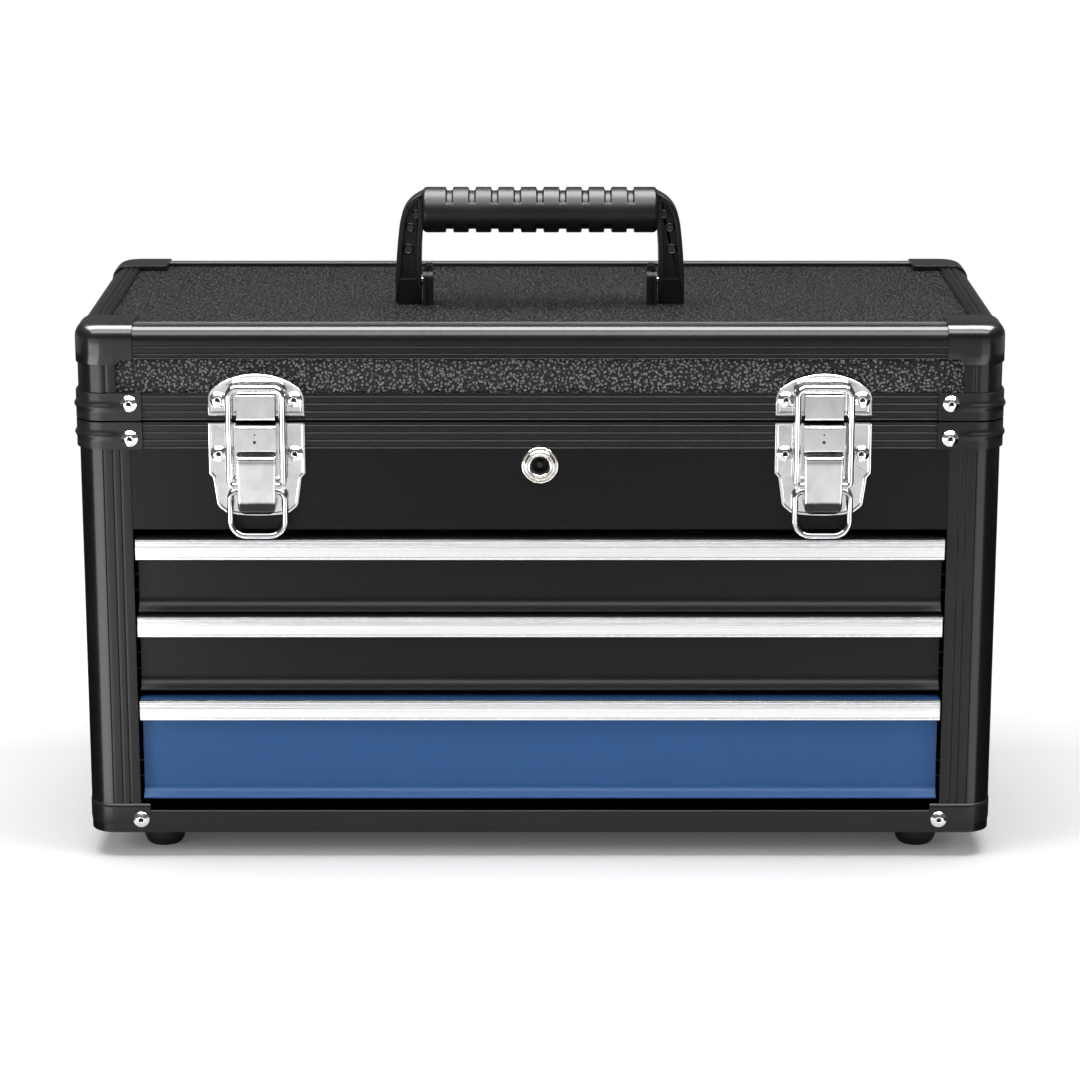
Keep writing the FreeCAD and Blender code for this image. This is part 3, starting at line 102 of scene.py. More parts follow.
# A turned shape: the profile holds (radius, height) pairs, spun about local Z
def addTurned(bm, profile, steps=40, closed=True):
    rings = []
    for radius, height in profile:
        if radius < 1e-6:
            rings.append([bm.verts.new((0, 0, height * mm))])
            continue
        ring = []
        for i in range(steps):
            a = 2 * math.pi * i / steps
            ring.append(bm.verts.new((radius * math.cos(a) * mm, radius * math.sin(a) * mm,
                                      height * mm)))
        rings.append(ring)
    pairs = list(zip(rings, rings[1:]))
    if closed and len(rings[0]) > 1 and len(rings[-1]) > 1:
        pairs.append((rings[-1], rings[0]))
    for low, high in pairs:
        if len(low) == 1 and len(high) == 1:
            continue
        for i in range(steps):
            j = (i + 1) % steps
            if len(low) == 1:
                bm.faces.new((low[0], high[j], high[i]))
            elif len(high) == 1:
                bm.faces.new((low[i], low[j], high[0]))
            else:
                bm.faces.new((low[i], low[j], high[j], high[i]))
    return [v for ring in rings for v in ring]


# A round wire along points in millimetres
def addWire(bm, path, radius, closed=False, steps=16):
    points = [Vector(p) * mm for p in path]
    count = len(points)
    rings = []
    normal = None
    for i, point in enumerate(points):
        before = points[(i - 1) % count] if closed or i else point
        after = points[(i + 1) % count] if closed or i < count - 1 else point
        along = (after - before).normalized()
        if normal is None:
            normal = along.orthogonal().normalized()
            if abs(along.y) < 0.5:
                normal = Vector((0, 1, 0))
        normal = (normal - along * normal.dot(along)).normalized()
        side = along.cross(normal)
        ring = []
        for k in range(steps):
            a = 2 * math.pi * k / steps
            ring.append(bm.verts.new(point + (normal * math.cos(a) + side * math.sin(a))
                                     * radius * mm))
        rings.append(ring)
    pairs = list(zip(rings, rings[1:])) + ([(rings[-1], rings[0])] if closed else [])
    for low, high in pairs:
        for k in range(steps):
            j = (k + 1) % steps
            bm.faces.new((low[k], low[j], high[j], high[k]))
    if not closed:
        bm.faces.new(rings[0][::-1])
        bm.faces.new(rings[-1])
    return [v for ring in rings for v in ring]


# Joins rows of points into a skin; closed joins the ends of every row
def addSkin(bm, rows, closed=False, capped=False):
    made = [[bm.verts.new(Vector(p) * mm) for p in row] for row in rows]
    for low, high in zip(made, made[1:]):
        last = len(low) if closed else len(low) - 1
        for i in range(last):
            j = (i + 1) % len(low)
            bm.faces.new((low[i], low[j], high[j], high[i]))
    if capped:
        bm.faces.new(made[0][::-1])
        bm.faces.new(made[-1])
    return [v for row in made for v in row]


def moved(bm, verts, matrix):
    bmesh.ops.transform(bm, matrix=matrix, verts=verts)
    return verts


def shiftBy(x, y, z):
    return Matrix.Translation(Vector((x, y, z)) * mm)


# Local X and Y run along the two walls from a corner of the chest, inwards
def cornerMatrix(corner):
    x, y = corner
    spot = Vector((x * chest["half"], chest["front"] if y < 0 else chest["rear"], 0)) * mm
    turn = Matrix(((-x, 0, 0, 0), (0, -y, 0, 0), (0, 0, 1, 0), (0, 0, 0, 1)))
    return Matrix.Translation(spot) @ turn


# Rounds the edges that are sharper than an angle
def addBevel(piece, width, segments, angle, harden=True):
    bevel = piece.modifiers.new("roundedEdges", "BEVEL")
    bevel.width = width * mm
    bevel.segments = segments
    bevel.limit_method = "ANGLE"
    bevel.angle_limit = math.radians(angle)
    bevel.harden_normals = harden
    bevel.use_clamp_overlap = True


# Gives a skin the thickness of its sheet, inwards
def addWall(piece, thickness):
    wall = piece.modifiers.new("sheetWall", "SOLIDIFY")
    wall.thickness = thickness * mm
    wall.offset = -1


# Makes the object, rounds its edges and lets it ride in place of the CAD nodes
def finishPiece(name, bm, body, material, replaced, edge=0.25, angle=32, segments=2):
    bmesh.ops.recalc_face_normals(bm, faces=bm.faces)
    mesh = bpy.data.meshes.new(name)
    bm.to_mesh(mesh)
    bm.free()
    mesh.shade_smooth()
    piece = bpy.data.objects.new(name, mesh)
    bpy.context.scene.collection.objects.link(piece)
    piece.data.materials.append(material)
    if edge:
        addBevel(piece, edge, segments, angle)
    else:
        mesh.set_sharp_from_angle(angle=math.radians(angle))
    # keeps broad flat faces evenly shaded beside their small edges
    piece.modifiers.new("evenShading", "WEIGHTED_NORMAL").keep_sharp = True
    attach(piece, body)
    if replaced:
        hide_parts(*replaced)
    return piece


# Materials: object coordinates are the chest's own metres, so every scale below is per metre

def newMaterial(name, colour, roughness, metallic=0.0, specular=0.5, coat=0.0, gloss=0.12):
    material = bpy.data.materials.new(name)
    material.use_nodes = True
    material.diffuse_color = (*colour, 1)
    tree = material.node_tree
    shader = tree.nodes["Principled BSDF"]
    values = {"Base Color": (*colour, 1), "Roughness": roughness, "Metallic": metallic,
              "Specular IOR Level": specular, "Coat Weight": coat, "Coat Roughness": gloss}
    for key, value in values.items():
        shader.inputs[key].default_value = value
    return material, tree, shader


def addNode(tree, kind, settings=None, **inputs):
    made = tree.nodes.new(kind)
    for key, value in (settings or {}).items():
        setattr(made, key, value)
    for key, value in inputs.items():
        made.inputs[key].default_value = value
    return made


# Coordinates stretched by a scale on each axis
def scaledPlace(tree, x=1, y=1, z=1):
    place = addNode(tree, "ShaderNodeTexCoord")
    mapping = addNode(tree, "ShaderNodeMapping")
    mapping.inputs["Scale"].default_value = (x, y, z)
    tree.links.new(place.outputs["Object"], mapping.inputs["Vector"])
    return mapping.outputs["Vector"]


def noiseOn(tree, place, scale, detail=3.0, roughness=0.5, distortion=0.0):
    made = addNode(tree, "ShaderNodeTexNoise", Scale=scale, Detail=detail, Roughness=roughness,
                   Distortion=distortion)
    tree.links.new(place, made.inputs["Vector"])
    return made.outputs["Fac"]


def rangeOf(tree, value, low, high, newLow, newHigh):
    made = addNode(tree, "ShaderNodeMapRange")
    for key, number in (("From Min", low), ("From Max", high), ("To Min", newLow),
                        ("To Max", newHigh)):
        made.inputs[key].default_value = number
    tree.links.new(value, made.inputs["Value"])
    return made.outputs["Result"]


def rampOf(tree, value, stops):
    made = addNode(tree, "ShaderNodeValToRGB")
    ramp = made.color_ramp
    while len(ramp.elements) < len(stops):
        ramp.elements.new(0.5)
    for element, (place, colour) in zip(ramp.elements, stops):
        element.position = place
        element.color = (*colour, 1)
    tree.links.new(value, made.inputs["Fac"])
    return made.outputs["Color"]


def addMath(tree, operation, a, b):
    made = addNode(tree, "ShaderNodeMath", {"operation": operation})
    for index, value in enumerate((a, b)):
        if isinstance(value, (int, float)):
            made.inputs[index].default_value = value
        else:
            tree.links.new(value, made.inputs[index])
    return made.outputs[0]


def addBump(tree, shader, height, distance, strength=1.0):
    made = addNode(tree, "ShaderNodeBump", Strength=strength, Distance=distance)
    tree.links.new(height, made.inputs["Height"])
    tree.links.new(made.outputs["Normal"], shader.inputs["Normal"])
    return made


def dress(tree, shader, colour, roughness):
    tree.links.new(colour, shader.inputs["Base Color"])
    tree.links.new(roughness, shader.inputs["Roughness"])


# Coarse pebbled laminate of the lid: glossy grains over dull valleys, with painted glints on the
# grain tops and painted shade in the valleys
def makePebbled(name, grain, paintedGlint, specular):
    look = {"height": 0.0011, "paintedValleyShade": 0.002, "bend": 0.0009, "smoothness": 0.35}
    material, tree, shader = newMaterial(name, (0.02, 0.02, 0.021), 0.36, specular=specular)
    place = scaledPlace(tree)
    warp = addNode(tree, "ShaderNodeTexNoise", Scale=grain * 0.8, Detail=2.0)
    tree.links.new(place, warp.inputs["Vector"])
    bend = addNode(tree, "ShaderNodeVectorMath", {"operation": "MULTIPLY_ADD"})
    bend.inputs[1].default_value = (look["bend"],) * 3
    tree.links.new(warp.outputs["Color"], bend.inputs[0])
    tree.links.new(place, bend.inputs[2])
    cells = addNode(tree, "ShaderNodeTexVoronoi", {"feature": "SMOOTH_F1"}, Scale=grain,
                    Smoothness=look["smoothness"])
    tree.links.new(bend.outputs["Vector"], cells.inputs["Vector"])
    fine = noiseOn(tree, place, grain * 2.6, 3.0, 0.6)
    body = rangeOf(tree, cells.outputs["Distance"], 0.12, 0.62, 1.0, 0.0)
    height = addMath(tree, "ADD", body, addMath(tree, "MULTIPLY", fine, 0.7))
    addBump(tree, shader, height, look["height"])
    # the colour ramp paints glints on the highest grains and shade in the valleys
    tint = rampOf(tree, height, [(0.30, (look["paintedValleyShade"],) * 3), (0.62, (0.012, 0.012, 0.0125)),
                                 (0.80, (paintedGlint * 0.3,) * 3), (1.0, (paintedGlint,) * 3)])
    dress(tree, shader, tint, rangeOf(tree, height, 0.3, 1.2, 0.42, 0.2))
    return material


# Black anodised aluminium with fine drawing lines along the rail or post
def makeAnodised(name, lines):
    look = {"roughness": (0.25, 0.36), "lineHeight": 0.000012}
    material, tree, shader = newMaterial(name, (0.010, 0.010, 0.0105), 0.3, specular=0.16,
                                         coat=0.3, gloss=0.14)
    place = scaledPlace(tree, *lines)
    drawn = noiseOn(tree, place, 1.0, 4.0, 0.62)
    cloud = noiseOn(tree, scaledPlace(tree), 16.0, 3.0, 0.55)
    mixed = addMath(tree, "ADD", addMath(tree, "MULTIPLY", drawn, 0.6),
                    addMath(tree, "MULTIPLY", cloud, 0.4))
    tint = rampOf(tree, cloud, [(0.3, (0.0055, 0.0055, 0.006)), (0.7, (0.0085, 0.0085, 0.009))])
    dress(tree, shader, tint, rangeOf(tree, mixed, 0.3, 0.7, *look["roughness"]))
    addBump(tree, shader, drawn, look["lineHeight"], 0.6)
    return material


# Satin sheet paint with a trace of orange peel
def makeSheetPaint(name, dark, light, roughness):
    material, tree, shader = newMaterial(name, dark, roughness, specular=0.15)
    place = scaledPlace(tree)
    peel = noiseOn(tree, place, 520.0, 2.0, 0.5)
    cloud = noiseOn(tree, place, 5.0, 3.0, 0.5)
    dress(tree, shader, rampOf(tree, cloud, [(0.25, dark), (0.75, light)]),
          rangeOf(tree, peel, 0.3, 0.7, roughness - 0.03, roughness + 0.05))
    addBump(tree, shader, peel, 0.00004, 0.5)
    return material


# Polished plating: slow ripples from the pressing and faint polishing marks
def makeChrome(name, ripple, colour=(0.80, 0.80, 0.81), roughness=(0.045, 0.13)):
    material, tree, shader = newMaterial(name, colour, 0.08, metallic=1.0)
    place = scaledPlace(tree)
    wave = noiseOn(tree, place, 95.0, 2.0, 0.5, 0.4)
    marks = noiseOn(tree, scaledPlace(tree, 300, 300, 1400), 1.0, 3.0, 0.6)
    grey = tuple(c * 0.86 for c in colour)
    dress(tree, shader, rampOf(tree, wave, [(0.3, grey), (0.6, colour)]),
          rangeOf(tree, marks, 0.3, 0.75, *roughness))
    addBump(tree, shader, wave, ripple, 1.0)
    return material


# Plated lever with painted shade: a soft grey band of painted shade under its top edge and a
# painted dark reflection on its nose
def makeLeverChromeWithPaintedShade():
    material = makeChrome("leverChrome", 0.00004, (0.80, 0.80, 0.81), (0.12, 0.24))
    tree = material.node_tree
    shader = tree.nodes["Principled BSDF"]
    plated = shader.inputs["Base Color"].links[0].from_socket
    place = addNode(tree, "ShaderNodeTexCoord")
    split = addNode(tree, "ShaderNodeSeparateXYZ")
    tree.links.new(place.outputs["Object"], split.inputs["Vector"])
    wave = noiseOn(tree, scaledPlace(tree), 260.0, 3.0, 0.6)
    level = addMath(tree, "ADD", split.outputs["Z"], addMath(tree, "MULTIPLY", wave, 0.0012))
    share = rangeOf(tree, level, 0.2037, 0.2383, 0.0, 1.0)
    # painted colours by height on the lever: the dark reflection of the nose, the grey shade under
    # the top edge, plain plating elsewhere
    dark, grey, full = (0.05, 0.05, 0.05), (0.42, 0.42, 0.42), (1.0, 1.0, 1.0)
    tint = rampOf(tree, share, [(0.235, dark), (0.275, full), (0.86, full), (0.92, grey),
                                (0.965, full)])
    mixed = addNode(tree, "ShaderNodeMix", {"data_type": "RGBA", "blend_type": "MULTIPLY"})
    mixed.inputs[0].default_value = 1.0
    tree.links.new(plated, mixed.inputs[6])
    tree.links.new(tint, mixed.inputs[7])
    tree.links.new(mixed.outputs[2], shader.inputs["Base Color"])
    return material


# Extruded pull: bright aluminium with lines along its length
def makePullAluminium():
    material, tree, shader = newMaterial("pullAluminium", (0.88, 0.885, 0.89), 0.2, metallic=1.0)
    drawn = noiseOn(tree, scaledPlace(tree, 6, 900, 2600), 1.0, 4.0, 0.65)
    tint = rampOf(tree, drawn, [(0.30, (0.70, 0.71, 0.72)), (0.52, (0.90, 0.905, 0.91))])
    dress(tree, shader, tint, rangeOf(tree, drawn, 0.3, 0.7, 0.14, 0.3))
    addBump(tree, shader, drawn, 0.00002, 0.5)
    return material


# Plain zinc-plated sheet of the trays, slides and leaves
def makeZinc(name, colour):
    material, tree, shader = newMaterial(name, colour, 0.38, metallic=1.0)
    place = scaledPlace(tree)
    spangle = addNode(tree, "ShaderNodeTexVoronoi", Scale=150.0)
    tree.links.new(place, spangle.inputs["Vector"])
    shade = rangeOf(tree, spangle.outputs["Color"], 0.0, 1.0, 0.0, 1.0)
    dark = tuple(c * 0.8 for c in colour)
    fine = noiseOn(tree, place, 260.0, 3.0, 0.5)
    dress(tree, shader, rampOf(tree, shade, [(0.0, dark), (1.0, colour)]),
          rangeOf(tree, fine, 0.3, 0.7, 0.3, 0.46))
    addBump(tree, shader, fine, 0.00003, 0.5)
    return material


# Moulded plastic and rubber: fine matte grain with slightly polished patches
def makeMoulded(name, colour, roughness, grain, height, specular=0.5, coat=0.0, gloss=0.12):
    material, tree, shader = newMaterial(name, colour, roughness, specular=specular, coat=coat,
                                         gloss=gloss)
    place = scaledPlace(tree)
    fine = noiseOn(tree, place, grain, 3.0, 0.55)
    cloud = noiseOn(tree, place, 22.0, 3.0, 0.5)
    light = tuple(c * 1.5 for c in colour)
    dress(tree, shader, rampOf(tree, cloud, [(0.3, colour), (0.75, light)]),
          rangeOf(tree, cloud, 0.3, 0.7, roughness - 0.05, roughness + 0.06))
    addBump(tree, shader, fine, height, 0.7)
    return material


finishes = {
    # the third number of each laminate is the brightness of its painted glints
    "lidLaminate": makePebbled("lidLaminate", 560.0, 0.26, 0.24),
    "topLaminate": makePebbled("topLaminate", 600.0, 0.11, 0.05),
    "railAnodised": makeAnodised("railAnodised", (9, 9, 3000)),
    "postAnodised": makeAnodised("postAnodised", (2200, 2200, 8)),
    "strapSteel": makeMoulded("strapSteel", (0.010, 0.010, 0.0105), 0.36, 700.0, 0.00003,
                              0.18, 0.2, 0.2),
    "blackSheet": makeSheetPaint("blackSheet", (0.0055, 0.0055, 0.006), (0.0075, 0.0075, 0.008),
                                 0.34),
    "drawerSheet": makeSheetPaint("drawerSheet", (0.0105, 0.0105, 0.011),
                                  (0.0135, 0.0135, 0.014), 0.34),
    "blueSheet": makeSheetPaint("blueSheet", (0.031, 0.104, 0.280), (0.034, 0.112, 0.300), 0.34),
    "caseBoard": makeMoulded("caseBoard", (0.013, 0.013, 0.0135), 0.45, 1100.0, 0.00014, 0.45),
    "latchChrome": makeChrome("latchChrome", 0.00005, (0.72, 0.72, 0.73), (0.10, 0.22)),
    "leverChrome": makeLeverChromeWithPaintedShade(),
    "wireChrome": makeChrome("wireChrome", 0.00002, (0.58, 0.58, 0.59), (0.04, 0.10)),
    "rivetChrome": makeChrome("rivetChrome", 0.00004, (0.86, 0.86, 0.865), (0.10, 0.22)),
    "lockNickel": makeChrome("lockNickel", 0.00003, (0.80, 0.77, 0.72), (0.07, 0.16)),
    # plain black standing for the shade inside holes and bores: painted shade on the rivet
    # mandrels, latch marks, arm holes and lock plug
    "holeShadeBlack": makeMoulded("holeShadeBlack", (0.004, 0.004, 0.004), 0.6, 500.0, 0.00003),
    "pullAluminium": makePullAluminium(),
    "trayZinc": makeZinc("trayZinc", (0.62, 0.63, 0.64)),
    "slideZinc": makeZinc("slideZinc", (0.03, 0.03, 0.031)),
    "handlePlastic": makeMoulded("handlePlastic", (0.006, 0.006, 0.0061), 0.36, 1500.0, 0.00006,
                                 0.26),
    "capPlastic": makeMoulded("capPlastic", (0.006, 0.006, 0.0065), 0.3, 1300.0, 0.00002, 0.2,
                              0.5, 0.1),
    "footRubber": makeMoulded("footRubber", (0.009, 0.009, 0.009), 0.55, 900.0, 0.00008, 0.4),
}
print("materials ready:", len(finishes))

# Which finish each CAD node wears where no finer piece takes its place
nodeFinishes = {
    "topLaminate": ("lid_top_panel",),
    "lidLaminate": ("lid_front_panel", "lid_back_panel", "lid_end_panels"),
    "caseBoard": ("base_left_panel", "base_right_panel", "base_back_panel"),
    "blackSheet": ("base_bottom_panel", "upper_front_panel", "till_floor"),
    "drawerSheet": ("top_drawer_front", "middle_drawer_front"),
    "blueSheet": ("bottom_drawer_front",),
    "railAnodised": ("bottom_rails", "base_rim_rails", "lid_rim_rails", "lid_top_rails"),
    "postAnodised": ("front_left_post", "front_right_post", "rear_posts", "lid_corner_posts"),
    "strapSteel": ("base_corner_straps", "lid_corner_straps", "bottom_corner_caps"),
    "capPlastic": ("lid_corner_caps",),
    "rivetChrome": ("base_rivets", "lid_rivets"),
    "latchChrome": ("left_latch_base", "right_latch_base", "left_latch_lever",
                    "right_latch_lever", "latch_strikes"),
    "wireChrome": ("left_latch_bail", "right_latch_bail", "left_latch_ring",
                   "right_latch_ring", "handle_pivots", "hinge_pins"),
    "lockNickel": ("lock_barrel", "lock_plug"),
    "pullAluminium": ("top_drawer_pull", "middle_drawer_pull", "bottom_drawer_pull"),
    "trayZinc": ("top_drawer_tray", "middle_drawer_tray", "bottom_drawer_tray",
                 "hinge_base_leaves", "hinge_lid_leaves", "lock_clip",
                 "lock_cam", "lock_catch", "foot_screws"),
    "slideZinc": ("top_drawer_runners", "middle_drawer_runners", "bottom_drawer_runners",
                  "slide_channels"),
    "handlePlastic": ("handle_grip", "handle_arms", "handle_brackets"),
    "footRubber": ("rubber_feet",),
}
for finishName, wearers in nodeFinishes.items():
    for nodeName in wearers:
        mesh = nodes[nodeName].data
        mesh.materials.clear()
        mesh.materials.append(finishes[finishName])
print("CAD nodes dressed:", sum(len(w) for w in nodeFinishes.values()))


# CAD nodes that keep their own mesh get welded seams and small rounded edges
softened = {
    "upper_front_panel": 0.25, "hinge_base_leaves": 0.2, "hinge_lid_leaves": 0.2,
    "lock_catch": 0.2, "lock_cam": 0.3, "slide_channels": 0.15,
}


def softenNodes():
    for name, width in softened.items():
        node = nodes[name]
        weld = node.modifiers.new("joinedSeams", "WELD")
        weld.merge_threshold = 0.00002
        addBevel(node, width, 2, 28)


# Formed corner strap: a sheet bent round the corner with an embossed bead along its middle

strapLook = {
    "reach": 36.6, "thickness": 1.5, "height": 15.3, "bead": 2.6, "beadDepth": 1.1,
    "beadReach": 23.5, "beadShare": 0.5, "beadFade": 5.0, "endRadius": 1.2, "lining": 0.02,
}


# Bulge of the bead at a height and at a distance along the wall from the corner
def beadOut(height, along):
    look = strapLook
    middle = look["height"] * look["beadShare"]
    across = min(1.0, abs(height - middle) / look["bead"])
    fade = smoothStep((look["beadReach"] - along) / look["beadFade"])
    return look["beadDepth"] * fade * (0.5 + 0.5 * math.cos(math.pi * across))


# Path round a corner as (x, y, normal x, normal y, distance along the wall)
def cornerPath(reach, radius, straight=9, bend=12):
    path = []
    for i in range(straight):
        x = radius + (reach - radius) * (1 - (i / straight) ** 2)
        path.append((x, 0.0, 0.0, -1.0, x))
    for i in range(bend + 1):
        a = math.radians(-90 - 90 * i / bend)
        path.append((radius + radius * math.cos(a), radius + radius * math.sin(a),
                     math.cos(a), math.sin(a), radius * 0.6))
    for i in range(1, straight + 1):
        y = radius + (reach - radius) * (1 - (1 - i / straight) ** 2)
        path.append((0.0, y, -1.0, 0.0, y))
    return path


# The path moved inwards by a distance, at a height
def rowAt(path, inset, z):
    return [(x - nx * inset, y - ny * inset, z) for x, y, nx, ny, along in path]


# Path of a cap that stands proud of both walls
def capPath(look):
    proud = look["proud"]
    return [(x - proud, y - proud, nx, ny, along) for x, y, nx, ny, along in
            cornerPath(look["reach"] + proud, chest["cornerRadius"] + proud, 10, 14)]


def makeStraps(name, body, replaced, low):
    look = strapLook
    bm = bmesh.new()
    path = cornerPath(look["reach"], chest["cornerRadius"], 12, 14)
    heights = [look["height"] * k / 16 for k in range(17)]
    for corner in corners:
        rows = []
        for height in heights:
            row = []
            for x, y, nx, ny, along in path:
                # the strap's end is rounded at both corners
                end = max(0.0, along - (look["reach"] - look["endRadius"])) / look["endRadius"]
                room = look["endRadius"] * (1 - math.sqrt(max(0.0, 1 - end * end)))
                z = min(max(height, room), look["height"] - room)
                out = look["thickness"] + beadOut(z, along)
                row.append((x + nx * out, y + ny * out, low + z))
            rows.append(row)
        lining = look["lining"]
        inner = [[(x + nx * lining, y + ny * lining, rows[k][i][2])
                  for i, (x, y, nx, ny, along) in enumerate(path)]
                 for k in (len(heights) - 1, 0)]
        verts = addSkin(bm, rows + inner + [rows[0]])
        bmesh.ops.remove_doubles(bm, verts=verts, dist=0.00001)
        moved(bm, [v for v in verts if v.is_valid], cornerMatrix(corner))
        edges = [e for e in bm.edges if e.is_boundary]
        bmesh.ops.holes_fill(bm, edges=edges, sides=0)
    return finishPiece(name, bm, body, finishes["strapSteel"], replaced,
                       edge=0.45, angle=50)


# Moulded cap over each top corner of the lid, with two wings and a short column

capLook = {
    "reach": 32.0, "wing": 18.9, "column": 22.0, "columnReach": 24.0, "blend": 1.2,
    "proud": 1.0, "fillet": 7.6, "innerBend": 3.0, "innerWall": 3.2, "wall": 1.0,
    "softEdge": 0.4, "nubInset": 4.5, "nubAcross": 11.0,
    "nub": [(0, 0.0), (1.7, 0.0), (1.7, 0.3), (1.2, 0.6), (0, 0.7)],
}


def makeTopCaps():
    bm = bmesh.new()
    look = capLook
    top, fillet = chest["lidTop"] + look["proud"], look["fillet"]
    path = capPath(look)
    for corner in corners:
        rows = []
        # down the outer wall: the column is lower than the wings
        for share in (1.0, 0.6, 0.25, 0.0):
            row = []
            for x, y, nx, ny, along in path:
                reach = max(x, y)
                blend = look["blend"]
                part = smoothStep((look["columnReach"] + blend - reach) / (2 * blend))
                drop = look["wing"] + (look["column"] - look["wing"]) * part
                row.append((x, y, top - fillet - (drop - fillet) * share))
            rows.append(row)
        # over the rounded edge onto the lid
        for i in range(1, 9):
            a = math.radians(90 * i / 8)
            rows.append(rowAt(path, fillet * (1 - math.cos(a)),
                              top - fillet * (1 - math.sin(a))))
        verts = addSkin(bm, rows)
        # the flat top and the low walls along its inner edges
        reach = look["reach"]
        inner = look["innerBend"]
        bend = arc(reach - inner, reach - inner, inner, 0, 90, 6)
        topRing = [(x, y) for x, y, z in rows[-1]] + bend[::-1]
        flat = [bm.verts.new(Vector((x, y, top)) * mm) for x, y in topRing]
        bm.faces.new(flat)
        edge = [topRing[0]] + bend + [(rows[-1][-1][0], rows[-1][-1][1])]
        walls = addSkin(bm, [[(x, y, top) for x, y in edge],
                             [(x, y, top - look["innerWall"]) for x, y in edge]])
        bmesh.ops.remove_doubles(bm, verts=verts + flat + walls, dist=0.00001)
        verts = [v for v in verts + flat + walls if v.is_valid]
        # the nub near the end of each wing
        spot = (reach - look["nubInset"], look["nubAcross"])
        for x, y in (spot, spot[::-1]):
            nub = addTurned(bm, look["nub"], 20)
            verts += moved(bm, nub, shiftBy(x, y, top - look["nub"][-1][1]))
        moved(bm, verts, cornerMatrix(corner))
    piece = finishPiece("lidCornerCaps", bm, "lid", finishes["capPlastic"],
                        ("lid_corner_caps",), edge=0, angle=70)
    addWall(piece, look["wall"])
    addBevel(piece, look["softEdge"], 3, 50)


# Sheet cap round each bottom corner, its lower ends drawn into a large radius

footCapLook = {"reach": 35.0, "proud": 0.4, "fillet": 7.5, "under": 6.0,
               "sheet": 0.38, "levels": (11.0, 14.5, 17.4)}


def makeBottomCaps():
    bm = bmesh.new()
    look = footCapLook
    low, fillet = chest["caseBottom"], look["fillet"]
    path = capPath(look)
    for corner in corners:
        rows = [rowAt(path, look["under"] + fillet, low)]
        for i in range(9):
            a = math.radians(90 * i / 8)
            rows.append(rowAt(path, fillet * (1 - math.sin(a)),
                              low + fillet * (1 - math.cos(a))))
        rows += [rowAt(path, 0.0, low + z) for z in look["levels"]]
        moved(bm, addSkin(bm, rows), cornerMatrix(corner))
    piece = finishPiece("bottomCornerCaps", bm, "case", finishes["strapSteel"],
                        ("bottom_corner_caps",), edge=0, angle=70)
    addWall(piece, look["sheet"])


# Blind rivets: a domed head with a thin skirt, a rolled lip at the bore and the mandrel, painted
# black for the shade in the bore

rivetLook = {
    "profile": [(1.15, -1.2), (1.2, 1.55), (1.35, 1.82), (1.7, 1.9), (2.4, 1.72), (3.2, 1.3),
                (4.0, 0.78), (4.45, 0.5), (4.65, 0.3), (4.65, 0.0), (3.6, 0.0), (3.6, -0.3)],
    "mandrel": [(0, 0.35), (0.75, 0.3), (1.0, 0.0), (1.18, -0.1)],
    "inset": 29.6, "caseStrap": 6.2, "bottomCap": 8.0, "lidStrap": 9.6,
}


def facing(x, y, z, side):
    turns = {"front": Matrix.Rotation(math.radians(90), 4, "X"),
             "back": Matrix.Rotation(math.radians(-90), 4, "X"),
             "left": Matrix.Rotation(math.radians(-90), 4, "Y"),
             "right": Matrix.Rotation(math.radians(90), 4, "Y")}
    return shiftBy(x, y, z) @ turns[side]


# Two rivets at each corner, one on either wall
def cornerSpots(proud, level):
    spots = []
    inset = rivetLook["inset"]
    for x, y in corners:
        face, wall = ("front", -1) if y < 0 else ("back", 1)
        edge = chest["front"] if y < 0 else chest["rear"]
        spots.append((x * (chest["half"] - inset), edge + wall * proud, level, face))
        spots.append((x * (chest["half"] + proud), edge - wall * inset, level,
                      "left" if x < 0 else "right"))
    return spots


def latchSpots(level):
    y = chest["front"] - latch["plate"]
    return [(side * latch["centre"] + end * latch["rivetReach"], y, level, "front")
            for side in (-1, 1) for end in (-1, 1)]


latch = {"centre": 157.41, "plate": 1.5, "rivetReach": 21.1, "baseRivet": 237.9,
         "strikeRivet": 268.5}


def makeRivets(name, body, spots, replaced):
    bm = bmesh.new()
    dark = bmesh.new()
    for spot in spots:
        place = facing(*spot)
        moved(bm, addTurned(bm, rivetLook["profile"], 36), place)
        # the mandrel sits deep in the bore, painted black as the shade there
        moved(dark, addTurned(dark, rivetLook["mandrel"], 20, False), place)
    piece = finishPiece(name, bm, body, finishes["rivetChrome"], replaced,
                        edge=0, angle=60)
    finishPiece(name + "Mandrels", dark, body, finishes["holeShadeBlack"], (),
                edge=0, angle=60)
    return piece


softenNodes()
makeStraps("caseCornerStraps", "case", ("base_corner_straps",), chest["rimBottom"])
makeStraps("lidCornerStraps", "lid", ("lid_corner_straps",), chest["lidBottom"])
makeTopCaps()
makeBottomCaps()
strapProud = strapLook["thickness"]
makeRivets("caseRivets", "case",
           cornerSpots(strapProud, chest["rimBottom"] + rivetLook["caseStrap"])
           + cornerSpots(footCapLook["proud"], chest["caseBottom"] + rivetLook["bottomCap"])
           + latchSpots(latch["baseRivet"]), ("base_rivets",))
makeRivets("lidRivets", "lid",
           cornerSpots(strapProud, chest["lidBottom"] + rivetLook["lidStrap"])
           + latchSpots(latch["strikeRivet"]), ("lid_rivets",))
print("trim pieces ready")


# Rails swept round the chest and fluted corner posts, all with soft lips that catch the light

